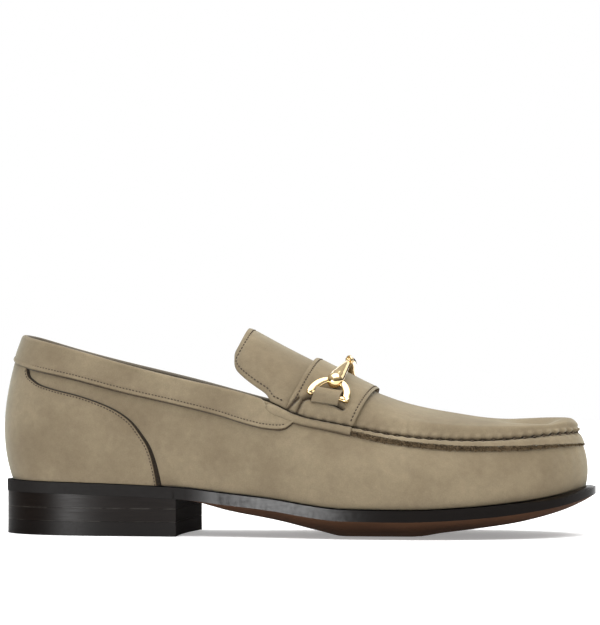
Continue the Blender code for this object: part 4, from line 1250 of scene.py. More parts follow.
def band_raw(u, v):
    """Raw at the cut edge, nubuck on the face, and below zero past the fold, where the lining starts."""
    edge, fold = BAND_ROWS[1], (BAND_ROWS[2] + BAND_ROWS[3]) / 2
    rows = (0.0, BAND_RAW_UNTIL * edge, edge + BAND_RAW_FADE, fold, fold + LINING_FADE)
    return np.interp(v, rows, (1.0, 1.0, 0.0, 0.0, -1.0))


bm = face_outwards(sheet(*BAND_SPANS, band_point, band_raw))
lined_at = bm.verts.layers.float["raw"]
for face in bm.faces:
    face.material_index = BACK if max(vert[lined_at] for vert in face.verts) < 0 else 0
add_piece(bm, "collar_band_folded", "taupe_nubuck", LEATHERS, "collar_band")

# Fine thread: spun polyester, dark brown, in a machine lockstitch
FINE_TWIST = 0.4
fine_thread = grained_finish(
    "fine_dark_thread", FINE_TWIST, ("#251b12", "#4b3b2a"), Roughness=0.65, Specular_IOR_Level=0.25
)

shares = band_share(np.linspace(*BAND_STITCH_ENDS, LINE_SAMPLES))
low = up_at_height(shares, band_edge_z(along_of(shares)) + BAND_STITCH_ABOVE)
bm = bmesh.new()
stitch_row(bm, *line_on(wall, shares, low, BAND_OFF - FURROW_DEPTH), FINE_PITCH, FINE_LENGTH, FINE_THREAD)
add_piece(bm, "collar_band_stitches", "taupe_nubuck", [fine_thread])

# Heel counter
# A curved overlay of nubuck round the back of the heel, under the collar band. Its raw front edge sweeps
# from the band down to the sole, with one row of fine stitches inside it. Along that edge the dark fibres
# are darkened further as painted shade of the gap beside it.

# Past 1 the mark darkens the fibres further, as painted shade of the gap at the counter's front edge
COUNTER_RAW_AND_GAP_SHADE = 1.7
COUNTER_THICKNESS = 1.2
COUNTER_ROWS = 60
COUNTER_STEP, COUNTER_BACK_COLUMNS = 0.5, 44
COUNTER_STITCH_HIGH, COUNTER_STITCH_LOW = 1.5, 3.2
COUNTER_BEVEL_HIGH, COUNTER_BEVEL_LOW = 0.9, 2.6
BEVEL_HEIGHTS, STITCH_HEIGHTS = (26.0, 60.0), (26.0, 70.0)
COUNTER_FOOT, COUNTER_LEAST, COUNTER_UNDER_BAND = 0.006, 1e-3, 0.6
COUNTER_EDGE_SINK, COUNTER_EDGE_RISE, COUNTER_EDGE_POWER = -0.3, 0.4, 0.6
COUNTER_EDGE_DARK_FROM, COUNTER_EDGE_DARK_FADE = 0.75, 0.4
COUNTER_STITCH_CLEAR, COUNTER_STITCH_OFF = 0.5, 0.16
LINE_FINENESS = 20
SEARCH_ROUNDS, SEARCH_LENGTH, SEARCH_LIMITS = 6, 340.0, (0.001, 0.999)

# The front edge of the counter from the band down to the sole, seen from the side
COUNTER_EDGE = table(
    "x z",
    (13.2, 84.5),
    (14.4, 80.4),
    (17.0, 78.2),
    (20.0, 76.4),
    (28.0, 74.0),
    (41, 70.9),
    (51.6, 67.5),
    (59.8, 64.0),
    (68.0, 58.6),
    (74.0, 51.6),
    (78.3, 45.1),
    (81.0, 37.8),
    (82.6, 31.2),
    (83.8, 24.5),
)


def smooth_line(points, step):
    """Even steps along a smooth curve through points."""
    run = run_along(points)
    fine = np.linspace(0, run[-1], LINE_FINENESS * len(points))
    line = np.stack([curve_through(run, points[:, k])(fine) for k in range(points.shape[1])], 1)
    run = run_along(line)
    return points_at(np.linspace(0, run[-1], round(run[-1] / step) + 1), run, line)


def share_at(x, z, inner):
    """Where on the way round the wall passes a point seen from the side."""
    along = along_at_seam(x)
    for _ in range(SEARCH_ROUNDS):
        share = round_share(along, inner)
        found = wall(share, np.clip(up_at_height(share, z), 0, 1))[:, 0]
        along = np.clip(along + (x - found) / SEARCH_LENGTH, *SEARCH_LIMITS)
    return round_share(along, inner)


counter_line = smooth_line(np.stack([COUNTER_EDGE["x"], COUNTER_EDGE["z"]], 1), COUNTER_STEP)[::-1]
outer_front = share_at(counter_line[:, 0], counter_line[:, 1], False)
inner_front = share_at(counter_line[:, 0], counter_line[:, 1], True)
across_back = np.linspace(outer_front[-1], inner_front[-1] - 1.0, COUNTER_BACK_COLUMNS + 2)[1:-1]
counter_shares = np.concatenate([outer_front, across_back, inner_front[::-1] - 1.0])
back_tops = band_edge_z(along_of(across_back)) + COUNTER_UNDER_BAND
counter_tops = np.concatenate([counter_line[:, 1], back_tops, counter_line[::-1, 1]])


def counter_edge(points):
    """How far inside its front edge places on the counter lie, seen from the side, in bevel widths."""
    x, z = points[:, 0], points[:, 2]
    away = np.full(len(x), np.inf)
    for edge_x, edge_z in counter_line:
        away = np.minimum(away, np.hypot(x - edge_x, z - edge_z))
    return away / np.interp(z, BEVEL_HEIGHTS, (COUNTER_BEVEL_LOW, COUNTER_BEVEL_HIGH))


def counter_base(u, v):
    column = np.rint(u * (len(counter_shares) - 1)).astype(int)
    share = counter_shares[column] % 1.0
    under_band = band_edge_z(along_of(share)) + COUNTER_UNDER_BAND
    top = up_at_height(share, np.minimum(counter_tops[column], under_band))
    return share, between(COUNTER_FOOT, np.maximum(top, COUNTER_FOOT + COUNTER_LEAST), 1 - (1 - v) ** 2)


def counter_point(u, v):
    share, up = counter_base(u, v)
    inside = np.clip(counter_edge(wall(share, up)), 0, 1) ** COUNTER_EDGE_POWER
    return off_wall(share, up, COUNTER_EDGE_SINK + (COUNTER_THICKNESS + COUNTER_EDGE_RISE) * inside)


# Dark fibres along the front edge, and past 1 painted shade of the gap beside it
def counter_raw_and_gap_shade(u, v):
    inside = counter_edge(wall(*counter_base(u, v)))
    return COUNTER_RAW_AND_GAP_SHADE * (1 - smooth((inside - COUNTER_EDGE_DARK_FROM) / COUNTER_EDGE_DARK_FADE))


bm = face_outwards(sheet(len(counter_shares) - 1, COUNTER_ROWS, counter_point, counter_raw_and_gap_shade))
add_piece(bm, "heel_counter_overlay", "taupe_nubuck", LEATHERS, "heel_counter")

bm = bmesh.new()
heading = np.gradient(counter_line, axis=0)
heading /= np.linalg.norm(heading, axis=1, keepdims=True)
stitch_inside = np.interp(counter_line[:, 1], STITCH_HEIGHTS, (COUNTER_STITCH_LOW, COUNTER_STITCH_HIGH))
stitch_line = counter_line + np.stack([-heading[:, 1], heading[:, 0]], 1) * stitch_inside[:, None]
band_above = band_edge_z(along_at_seam(stitch_line[:, 0]))
stitch_line = stitch_line[stitch_line[:, 1] < band_above - COUNTER_STITCH_CLEAR]
for inner in (False, True):
    shares = share_at(stitch_line[:, 0], stitch_line[:, 1], inner)
    ups = up_at_height(shares, stitch_line[:, 1])
    line = line_on(wall, shares, ups, COUNTER_THICKNESS + COUNTER_STITCH_OFF)
    stitch_row(bm, *line, FINE_PITCH, FINE_LENGTH, FINE_THREAD)
add_piece(bm, "counter_stitches", "taupe_nubuck", [fine_thread])

# Tongue
# A stiff flap of nubuck, lined with leather, that stands up over the instep. Its edge is folded under and
# stitched, and its sides run down into the apron seam beside the collar.

TONGUE_SPANS = (110, 90)
TONGUE_WALL, TONGUE_ROUNDING = 2.2, 0.7
TONGUE_SEAM_CLEARANCE, TONGUE_THROAT_CLEARANCE = 0.012, 0.01
TONGUE_SAMPLES, TONGUE_STEPS, TONGUE_CROWDING = 240, 200, 1.25
TONGUE_CORNER, TONGUE_CORNER_FROM, TONGUE_CORNER_POWER = 3.4, 0.75, 6
TONGUE_BOW, TONGUE_SPARE = 0.7, 3.0
TONGUE_ROLL, TONGUE_ROLL_WIDTH = 0.45, 0.9
BOLD_PITCH, BOLD_LENGTH, BOLD_THREAD = 2.0, 1.4, 0.4
TONGUE_STITCH_INSIDE, STITCH_TURN = 2.7, 1.3
STITCH_FROM_SEAM, STITCH_TO_TURN = 4.0, 1.0
BACK_SAMPLES, FLANK_SAMPLES = 400, 300

# Millimetres of leather from the seam up to the ridge, and along the ridge for each millimetre of X
UP_MM, END_SLANT = 34.0, 1.15

# How many hoops of the apron the tongue follows, and which of them lead on to its free part
SEWN_HOOPS, LEADING_HOOPS = 60, [20, 40, 59]

# The free part of the tongue: its side edge, the ridge above it, and its steepness and flatness
TONGUE = table(
    "edge_x half_width edge_z ridge_x rise slope reach",
    (136.5, 30.8, 71.6, 147.0, 12.6, 28, 0.62),
    (131.0, 30.0, 75.4, 141.0, 12.0, 28, 0.62),
    (124.5, 27.0, 80.0, 133.5, 11.5, 28, 0.62),
    (119.8, 23.2, 84.6, 128.0, 10.0, 28, 0.62),
    (118.0, 18.0, 90.0, 124.2, 7.0, 28, 0.62),
)
COLLAR_FRONT = along_at_seam(COLLAR_FRONT_X)


def tongue_hoops():
    """Hoops from the throat back to the tongue's end, sampled finely, and a spare one past it."""
    places = np.linspace(THROAT + TONGUE_THROAT_CLEARANCE, COLLAR_FRONT, SEWN_HOOPS)
    sewn = np.array(apron_hoops(places)).transpose(1, 0, 2)
    middle_y = sewn[-1, RIDGE, 1]
    sides = (middle_y + turn * TONGUE["half_width"] for turn in (-1, 1))
    edges = [np.stack([TONGUE["edge_x"], side, TONGUE["edge_z"]], 1) for side in sides]
    x = TONGUE["ridge_x"]
    ridge = np.stack([x, np.full(len(x), middle_y), crest_z(x)], 1)
    none = np.zeros(len(x))
    shape = (TONGUE[name] for name in ("rise", "slope", "reach"))
    free = np.array(hoop_points(edges, ridge, *shape, none, none))
    rows = np.concatenate([sewn[LEADING_HOOPS], free.transpose(1, 0, 2)])
    places = -rows[:, RIDGE, 0]
    fine = np.linspace(-sewn[-1, RIDGE, 0], places[-1], TONGUE_SAMPLES)
    loose = np.stack(
        [[curve_through(places, rows[:, i, k])(fine) for k in range(3)] for i in range(HOOP_POINTS)]
    )
    hoops = np.concatenate([sewn[:-1], loose.transpose(2, 0, 1)])
    step = hoops[-1] - hoops[-2]
    spare = hoops[-1] - step * TONGUE_SPARE / step[RIDGE, 0]
    return np.concatenate([hoops, spare[None]])


TONGUE_HOOPS = tongue_hoops()
TONGUE_RIDGE_X = TONGUE_HOOPS[:, RIDGE, 0]
TONGUE_FRONT_X, TONGUE_BACK_X = TONGUE_RIDGE_X[0], TONGUE_RIDGE_X[-2]


def tongue(ridge_x, across):
    points = [
        np.stack([np.interp(-ridge_x, -TONGUE_RIDGE_X, TONGUE_HOOPS[:, i, k]) for k in range(3)], -1)
        for i in range(HOOP_POINTS)
    ]
    return on_hoop(points, across)


def off_tongue(ridge_x, across, height):
    """Points off the tongue, with steps that fit its two measures."""
    far = NORMAL_STEP * TONGUE_STEPS
    along_u = tongue(ridge_x - far, across) - tongue(ridge_x + far, across)
    along_v = tongue(ridge_x, across + NORMAL_STEP) - tongue(ridge_x, across - NORMAL_STEP)
    normal = np.cross(along_v, along_u)
    normal /= np.linalg.norm(normal, axis=-1, keepdims=True)
    return tongue(ridge_x, across) + normal * np.asarray(height)[..., None]


def tongue_back(across):
    """Where the tongue ends on the ridge's line, sooner at its rounded corners."""
    side = np.abs(across)
    turn = np.clip((side - TONGUE_CORNER_FROM) / (1 - TONGUE_CORNER_FROM), 0, 1)
    return TONGUE_BACK_X + TONGUE_CORNER * turn**TONGUE_CORNER_POWER - TONGUE_BOW * side**2


def tongue_inside(ridge_x, across):
    """How far inside the tongue's edge a place lies, in millimetres."""
    side = (1 - np.abs(across)) * UP_MM
    return np.minimum(side, (ridge_x - tongue_back(across)) * END_SLANT)


def tongue_place(u, v):
    across = (2 * v - 1) * (1 - TONGUE_SEAM_CLEARANCE)
    return between(TONGUE_FRONT_X, tongue_back(across), 1 - (1 - u) ** TONGUE_CROWDING), across


def tongue_point(u, v):
    ridge_x, across = tongue_place(u, v)
    inside = tongue_inside(ridge_x, across)
    furrow = FURROW_DEPTH * hump((inside - TONGUE_STITCH_INSIDE) / FURROW_WIDTH)
    rolled = TONGUE_ROLL * hump(inside / TONGUE_ROLL_WIDTH)
    return off_tongue(ridge_x, across, -furrow - rolled)


bm = face_outwards(sheet(*TONGUE_SPANS, tongue_point))
tongue_piece = add_piece(bm, "tongue_flap", "taupe_nubuck", [nubuck, nubuck, lining_leather], "tongue")
thicken(tongue_piece, TONGUE_WALL, RIM, BACK, rounding=TONGUE_ROUNDING)

# The stitches run up one side from the seam, across the back and down the other side
inset = TONGUE_STITCH_INSIDE / UP_MM + TONGUE_SEAM_CLEARANCE
over = np.linspace(-1 + STITCH_TURN * inset, 1 - STITCH_TURN * inset, BACK_SAMPLES)
over_x = tongue_back(over) + TONGUE_STITCH_INSIDE / END_SLANT
seam_end_x = TONGUE_RIDGE_X[SEWN_HOOPS - 2]
side_x = np.linspace(seam_end_x + STITCH_FROM_SEAM, over_x[0] + STITCH_TO_TURN, FLANK_SAMPLES)
path_x = np.concatenate([side_x, over_x, side_x[::-1]])
flanks = [np.full(FLANK_SAMPLES, turn * (1 - inset)) for turn in (-1, 1)]
path_across = np.concatenate([flanks[0], over, flanks[1]])
low, high = (off_tongue(path_x, path_across, np.full(len(path_x), off)) for off in (-FURROW_DEPTH, 1.0))
bm = bmesh.new()
stitch_row(bm, low, high - low, BOLD_PITCH, BOLD_LENGTH, BOLD_THREAD)
add_piece(bm, "tongue_stitches", "taupe_nubuck", [fine_thread])

# Seam strips
# A short strip of nubuck on each side below the strap, its lower edge folded under. It covers the end of
# the collar band, and its back end is pinched to a rounded tip beside the tongue.

STRIP_BACK_X, STRIP_FRONT_X = 136.5, 180.6
STRIP_SPANS = (150, 24)
STRIP = table("x height", (136.5, 5.4), (141, 6.2), (147, 5.5), (155, 4.6), (165, 4.3), (180.6, 4.4))
STRIP_OFF, STRIP_SINK, STRIP_TOP, STRIP_ROUND = 2.3, 0.6, 0.25, 0.35
STRIP_TIP, STRIP_TIP_BELOW, STRIP_TIP_FULL = 5.5, 4.4, 0.35
STRIP_PINCH, STRIP_PINCH_REACH = 0.35, 1.4
# How dark the strip's edges are, how far that reaches at its lower and upper edge, and the reach of the
# painted crease shade at its tip
STRIP_RAW_AND_SHADE, RAW_LOWER, RAW_UPPER, TIP_CREASE_SHADE_REACH = 0.9, 0.1, 0.05, 1.3
strip_height = curve_through(along_at_seam(STRIP["x"]), STRIP["height"])
strip_ends = along_at_seam(np.array([STRIP_BACK_X, STRIP_FRONT_X]))


def strip_place(inner):
    def place(u, v):
        along = between(*strip_ends, u)
        share = round_share(along, inner)
        from_tip = np.minimum(1.0, u * (STRIP_FRONT_X - STRIP_BACK_X) / STRIP_TIP)
        nose = np.sqrt(1 - (1 - from_tip) ** 2)
        below = between(STRIP_TIP_BELOW, between(STRIP_TOP, strip_height(along), v), nose)
        bulge = np.clip(np.sin(math.pi * np.clip(v, 0, 1)), 0, 1) ** STRIP_ROUND
        off = -STRIP_SINK + (STRIP_OFF + STRIP_SINK) * bulge * between(STRIP_TIP_FULL, 1, nose)
        pinch = STRIP_PINCH * (1 - stitch_phase(along, np.full(len(u), 1.0 if inner else -1.0)))
        off = off - pinch * hump(below / STRIP_PINCH_REACH)
        z = seam(share)[:, 2] - below
        return off_wall(share, up_at_height(share, z), off)

    return place


# Dark fibres along the upper and lower edges, and the same colour at the tip as painted shade of its pinched
# crease
def strip_raw_and_shade(u, v):
    lower, upper = hump((1 - v) / RAW_LOWER), hump(v / RAW_UPPER)
    tip = hump(u * (STRIP_FRONT_X - STRIP_BACK_X) / TIP_CREASE_SHADE_REACH)
    return STRIP_RAW_AND_SHADE * np.maximum(np.maximum(lower, tip), upper)


for side, inner in (("outer", False), ("inner", True)):
    bm = face_outwards(sheet(*STRIP_SPANS, strip_place(inner), strip_raw_and_shade))
    add_piece(bm, f"seam_strip_{side}_folded", "taupe_nubuck", LEATHERS, f"seam_strip_{side}")

# Saddle strap
# A wide strap of nubuck over the tongue and apron, its two long edges folded and stitched. Near each end it
# is slit for the loop that holds the bit, and below the slit it is gathered into the apron seam.

STRAP_BACK_X = 147.0
STRAP_SPANS = (110, 300)
STRAP_THICKNESS, STRAP_BACK_GAP, STRAP_ROUNDING = 2.4, 0.2, 0.45
STRAP_WIDTH = STRAP_FRONT_X - STRAP_BACK_X
STRAP_STITCH_INSIDE, STRAP_STITCH_END = 2.0, 0.93
STRAP_END = 0.004
STRAP_ROLL, STRAP_ROLL_WIDTH = 0.45, 0.6
STRAP_TUCK, STRAP_TUCK_REACH, STRAP_RAW = 1.6, 0.8, 0.8
STRAP_PINCH, STRAP_PINCH_REACH = 1.4, 2.4
SLIT_DEPTH, SLIT_WIDTH, SLIT_STEP = 2.2, 0.95, 0.25
SLIT_RAW, SLIT_RAW_WIDTH = 0.9, 0.7
SLITS_BELOW, NO_SLIT = 0.4, 99.0
strap_face = GAP + STRAP_THICKNESS
strap_along = along_at_seam(np.array([STRAP_BACK_X, STRAP_FRONT_X]))

# The slits near each end of the strap, as places along its width and up from the seam in shares: the
# long one under the loop, the short one beside it, and the gathered pleat at the back
LONG_SLIT = table(
    "width up",
    (0.16, 0.2),
    (0.2, 0.24),
    (0.28, 0.268),
    (0.44, 0.275),
    (0.58, 0.262),
    (0.74, 0.22),
)
SHORT_SLIT = table("width up", (0.16, 0.2), (0.155, 0.13), (0.155, 0.06), (0.16, 0.0))
PLEAT = table("width up", (0.09, 0.2), (0.06, 0.12), (0.035, 0.05), (0.02, 0.0))

# Each of them with its share of the depth and width of a slit
SLITS = ((LONG_SLIT, 1.0, 1.3), (SHORT_SLIT, 0.8, 1.2), (PLEAT, 0.8, 1.0))

# The flap below the long slit and the tab behind it: middle and half width, middle and half height, all in
# shares, and how far each puffs up
FLAP_MIDDLE, FLAP_HALF, FLAP_UP, FLAP_HALF_UP, FLAP_PUFF = 0.5, 0.32, 0.14, 0.09, 1.2
TAB_MIDDLE, TAB_HALF, TAB_UP, TAB_HALF_UP, TAB_PUFF = 0.1, 0.05, 0.09, 0.06, 0.8


def away_from(line, width, up):
    """How far places on the strap lie from a line on it, in millimetres."""
    points = smooth_line(np.stack([line["width"] * STRAP_WIDTH, line["up"] * UP_MM], 1), SLIT_STEP)
    nearest = np.full(len(width), np.inf)
    for x, y in points:
        nearest = np.minimum(nearest, np.hypot(width * STRAP_WIDTH - x, up * UP_MM - y))
    return nearest


def strap_place(u, v):
    across = toward_seam(v) * (1 - STRAP_END)
    return u, 1 - np.abs(across), across


def strap_marks(width, up):
    """How deep the strap sinks at its slits and pleat, how raw it is there, and how far it puffs up."""
    low = up < SLITS_BELOW
    sunk, raw = np.zeros(len(up)), np.zeros(len(up))
    for line, depth, wide in SLITS:
        away = np.full(len(up), NO_SLIT)
        away[low] = away_from(line, width[low], up[low])
        sunk = np.maximum(sunk, depth * hump(away / (SLIT_WIDTH * wide)))
        raw = np.maximum(raw, SLIT_RAW * hump(away / (SLIT_RAW_WIDTH * SLIT_WIDTH * wide)))
    flap = np.exp(-(((width - FLAP_MIDDLE) / FLAP_HALF) ** 4)) * hump((up - FLAP_UP) / FLAP_HALF_UP)
    tab = hump((width - TAB_MIDDLE) / TAB_HALF) * hump((up - TAB_UP) / TAB_HALF_UP)
    return sunk, raw, FLAP_PUFF * flap + TAB_PUFF * tab


def strap_point(u, v):
    width, up, across = strap_place(u, v)
    along = between(*strap_along, width)
    inside = np.minimum(width, 1 - width) * STRAP_WIDTH
    furrow = FURROW_DEPTH * hump((inside - STRAP_STITCH_INSIDE) / FURROW_WIDTH)
    rolled = STRAP_ROLL * hump(inside / STRAP_ROLL_WIDTH)
    sunk, _, puff = strap_marks(width, up)
    tuck = STRAP_TUCK * hump(up * UP_MM / STRAP_TUCK_REACH)
    pinch = STRAP_PINCH * (1 - stitch_phase(along, across)) * hump(up * UP_MM / STRAP_PINCH_REACH)
    off = strap_face - furrow - rolled + puff - SLIT_DEPTH * sunk - tuck - pinch
    return off_apron(along, across, off)


def strap_raw(u, v):
    width, up, _ = strap_place(u, v)
    _, raw, _ = strap_marks(width, up)
    return np.maximum(raw, STRAP_RAW * hump(up * UP_MM / STRAP_TUCK_REACH))


bm = face_outwards(sheet(*STRAP_SPANS, strap_point, strap_raw))
strap_leathers = [nubuck, raw_edge, nubuck]
strap_piece = add_piece(bm, "saddle_strap_folded", "taupe_nubuck", strap_leathers, "saddle_strap")
thicken(strap_piece, STRAP_THICKNESS - STRAP_BACK_GAP, RIM, BACK, rounding=STRAP_ROUNDING)

bm = bmesh.new()
strap_over = np.linspace(-STRAP_STITCH_END, STRAP_STITCH_END, LINE_SAMPLES)
for inside in (STRAP_STITCH_INSIDE, STRAP_WIDTH - STRAP_STITCH_INSIDE):
    along = np.full(LINE_SAMPLES, between(*strap_along, inside / STRAP_WIDTH))
    line = line_on(apron, along, strap_over, strap_face - FURROW_DEPTH)
    stitch_row(bm, *line, BOLD_PITCH, BOLD_LENGTH, BOLD_THREAD)
add_piece(bm, "strap_stitches", "taupe_nubuck", [fine_thread])

# Loops for the bit
# A tab of nubuck on each side that comes up out of the slit, passes over the foot bar of the ring and goes
# back down behind it.

BIT_X = 162.6
LOOP_ACROSS = 0.70
LOOP_HALF_WIDTH, LOOP_LOW, LOOP_HIGH, LOOP_RISE = 6.6, -1.8, 3.8, 3.6
LOOP_TILT, LOOP_FULLNESS, LOOP_SINK = 0.9, 0.4, 0.9
LOOP_THICKNESS, LOOP_ROUNDING = 1.2, 0.3
LOOP_SPANS = (24, 40)
NUDGE = 0.01
bit_along = along_at_seam(BIT_X)


def loop_place(sign):
    across = np.array([sign * LOOP_ACROSS])
    here = np.array([bit_along])
    lengthwise = np.linalg.norm(apron(here + NUDGE, across) - apron(here - NUDGE, across))
    upwards = np.linalg.norm(apron(here, across + NUDGE) - apron(here, across - NUDGE))

    def place(u, v):
        sideways = LOOP_HALF_WIDTH * (2 * u - 1) * 2 * NUDGE / lengthwise
        upward = between(LOOP_LOW, LOOP_HIGH, v)
        arch = 1 - (upward / np.where(upward < 0, LOOP_LOW, LOOP_HIGH)) ** 2
        height = strap_face - LOOP_SINK + (LOOP_RISE + LOOP_SINK) * np.clip(arch, 0, 1) ** LOOP_FULLNESS
        upward = upward + LOOP_TILT * (2 * u - 1)
        over = LOOP_ACROSS - upward * 2 * NUDGE / upwards
        return off_apron(bit_along + sideways, sign * over, height)

    return place


for side, sign in (("outer", -1.0), ("inner", 1.0)):
    bm = face_outwards(sheet(*LOOP_SPANS, loop_place(sign)))
    loop = add_piece(bm, f"bit_loop_{side}_tab", "taupe_nubuck", LEATHERS, f"bit_loop_{side}")
    thicken(loop, LOOP_THICKNESS, RIM, inwards=False, rounding=LOOP_ROUNDING)

# Bit
# Two stirrup rings and a jointed mouthpiece of cast brass, polished and plated in pale gold. Each half of
# the mouthpiece is a cone that swells round its ring and ends in an eye, and the eyes are linked.

RING_WIDE, RING_THICK, RING_BAR_WIRE, RING_NECK, RING_SQUARE = 2.0, 0.95, 1.15, 0.75, 0.65
RING_FOOT_HEIGHT, RING_TOP_HEIGHT = 2.0, 4.6
JOINT_ACROSS, JOINT_HEIGHT, JOINT_AHEAD = -0.08, 6.7, -0.6
BAR_KNEE = 0.55
RING_ARCH_POWER = 1.05
RING_SPANS, ARCH_SAMPLES, FOOT_BAR_SAMPLES = (140, 20), 120, 40
RING_MERGE, HEADING_STEP = 0.02, 0.4
FOOT_SWELL, FOOT_LENGTH, NECK_LENGTH = 0.4, 1.3, 5.0
BAR_TIP, CONE_STEPS, CONE_POWER = 1.2, 12, 0.9
TIP_OVERLAP, TIP_DOME = 0.3, 0.4
EYE_WIRE, EYE_BACK, EYE_WIRE_SIDES = 0.65, 0.55, 14
BAR_SIDES, EYE_SIDES, TURNED_MERGE = 40, 40, 1e-4
LEAN_STEP = 0.1

# The ring's two feet on the strap, as places along its width and up from the seam in shares
RING_FEET = table("width up", (0.203, 0.296), (0.729, 0.316))

# The bulb at the end of each half of the mouthpiece, from its dome to the rim where the cone starts
BAR_PROFILE = table(
    "radius height",
    (0.0, -4.3),
    (1.1, -4.15),
    (2.1, -3.7),
    (3.0, -2.9),
    (3.65, -1.8),
    (4.0, -0.6),
    (4.1, 0.3),
    (3.95, 0.75),
)

# Pale gold plate on polished brass: bright and smooth, with faint waves from casting and hand polishing
POLISH_WAVE = 3.0
pale_gold = grained_finish(
    "pale_gold_plate",
    POLISH_WAVE,
    ("#d2b27a", "#ebd3a6"),
    gloss=(0.08, 0.16),
    relief=(0.15, 0.1),
    Metallic=1.0,
)


def one(surface_point):
    return Vector(surface_point[0])


def bit_frame(sign, top_up):
    """One ring's feet on the strap, its top, the way up the strap there, and the joint over the ridge."""
    foot_along = between(*strap_along, RING_FEET["width"])
    feet = off_apron(foot_along, sign * (1 - RING_FEET["up"]), np.full(2, strap_face + RING_FOOT_HEIGHT))
    here = np.array([bit_along])
    raised_top = np.array([strap_face + RING_TOP_HEIGHT])
    places = (np.array([sign * (1 - up)]) for up in (top_up, top_up + LEAN_STEP))
    top, above = (one(off_apron(here, across, raised_top)) for across in places)
    ahead = np.array([along_at_seam(BIT_X + JOINT_AHEAD)])
    joint = one(off_apron(ahead, np.array([JOINT_ACROSS]), np.array([strap_face + JOINT_HEIGHT])))
    return feet, top, above - top, joint


def ring_mesh(feet, top):
    """A flat ribbon bent into an arch with a narrow top, closed by a round foot bar between two balls."""
    middle, half = (feet[0] + feet[1]) / 2, (feet[1] - feet[0]) / 2
    rise = np.array(top) - middle
    out = np.cross(half, rise)
    out /= np.linalg.norm(out)
    turn = np.linspace(0, math.pi, ARCH_SAMPLES)
    bar = np.linspace(-1, 1, FOOT_BAR_SAMPLES)[1:]
    sideways = np.concatenate([np.cos(turn), bar])
    upwards = np.concatenate([np.maximum(np.sin(turn), 0) ** RING_ARCH_POWER, np.zeros(len(bar))])
    line = middle + sideways[:, None] * half + upwards[:, None] * rise
    run = run_along(line)
    feet_at = (run[0], run[ARCH_SAMPLES - 1], run[-1])

    def on_line(at):
        return points_at(at % run[-1], run, line)

    def place(u, v):
        at = u * run[-1]
        heading = on_line(at + HEADING_STEP) - on_line(at - HEADING_STEP)
        heading /= np.linalg.norm(heading, axis=1, keepdims=True)
        side = np.cross(heading, out)
        swell = np.minimum(1.0, sum(hump((at - foot) / FOOT_LENGTH) for foot in feet_at))
        neck = RING_NECK * hump((at - feet_at[1] / 2) / NECK_LENGTH)
        ball = RING_BAR_WIRE + FOOT_SWELL * swell
        wide = np.maximum(np.where(at > feet_at[1], RING_BAR_WIRE, RING_WIDE - neck), ball)[:, None]
        thick = np.maximum(np.where(at > feet_at[1], RING_BAR_WIRE, RING_THICK), ball * swell)[:, None]
        round_wire = np.cos(2 * math.pi * v), np.sin(2 * math.pi * v)
        over, outward = (np.sign(part) * np.abs(part) ** RING_SQUARE for part in round_wire)
        return on_line(at) + wide * over[:, None] * side + thick * outward[:, None] * out

    bm = sheet(*RING_SPANS, place)
    bmesh.ops.remove_doubles(bm, verts=bm.verts, dist=RING_MERGE)
    bmesh.ops.recalc_face_normals(bm, faces=bm.faces)
    return bm


def full_spin(bm, geom, axis, steps):
    """Spins a line or a ring once round an axis."""
    bmesh.ops.spin(
        bm, geom=geom, cent=(0, 0, 0), axis=axis, angle=2 * math.pi, steps=steps, use_merge=True
    )


def turned(bm, profile, sides):
    """Spins a profile of radius and height round Z into a closed solid."""
    verts = [bm.verts.new((radius, 0, height)) for radius, height in profile]
    edges = [bm.edges.new(pair) for pair in zip(verts, verts[1:])]
    full_spin(bm, verts + edges, (0, 0, 1), sides)
    bmesh.ops.remove_doubles(bm, verts=bm.verts, dist=TURNED_MERGE)


def bend(bm, start, lean, end, reference):
    """Lays a solid turned about Z along an axis that leaves start one way and bends towards end."""
    reach = (end - start).length
    knee = start + lean.normalized() * reach * BAR_KNEE
    for vert in bm.verts:
        share = max(0.0, vert.co.z) / reach
        place = start * (1 - share) ** 2 + knee * 2 * share * (1 - share) + end * share**2
        heading = ((knee - start) * (1 - share) + (end - knee) * share).normalized()
        side = (reference - heading * reference.dot(heading)).normalized()
        place = place + heading * min(0.0, vert.co.z)
        vert.co = place + side * vert.co.x + heading.cross(side) * vert.co.y


def bar_mesh(top, lean, joint, eye_radius, eye_axis, eye_turn):
    """Half of the mouthpiece, turned, then bent along the instep, with an eye at an angle on its tip."""
    eye_place = (joint - top).length - EYE_BACK * eye_radius
    tip = eye_place - eye_radius + TIP_OVERLAP
    heights = np.linspace(BAR_PROFILE["height"][-1], tip - TIP_DOME, CONE_STEPS)[1:]
    share = (heights - heights[0]) / (heights[-1] - heights[0])
    cone = between(BAR_PROFILE["radius"][-1], BAR_TIP, share**CONE_POWER)
    profile = [*zip(BAR_PROFILE["radius"], BAR_PROFILE["height"]), *zip(cone, heights), (0.0, tip)]
    bm = bmesh.new()
    turned(bm, profile, BAR_SIDES)
    eye = bmesh.new()
    ring = bmesh.ops.create_circle(eye, segments=EYE_WIRE_SIDES, radius=EYE_WIRE)["verts"]
    bmesh.ops.translate(eye, verts=ring, vec=(eye_radius, 0, 0))
    full_spin(eye, eye.edges[:] + eye.verts[:], (0, 1, 0), EYE_SIDES)
    bmesh.ops.rotate(eye, verts=eye.verts, cent=(0, 0, 0), matrix=Matrix.Rotation(eye_turn, 3, "X"))
    bmesh.ops.translate(eye, verts=eye.verts, vec=(0, 0, eye_place))
    joined = bpy.data.meshes.new("eye")
    eye.to_mesh(joined)
    eye.free()
    bm.from_mesh(joined)
    bpy.data.meshes.remove(joined)
    bend(bm, top, lean, joint, eye_axis)
    bmesh.ops.recalc_face_normals(bm, faces=bm.faces)
    return bm


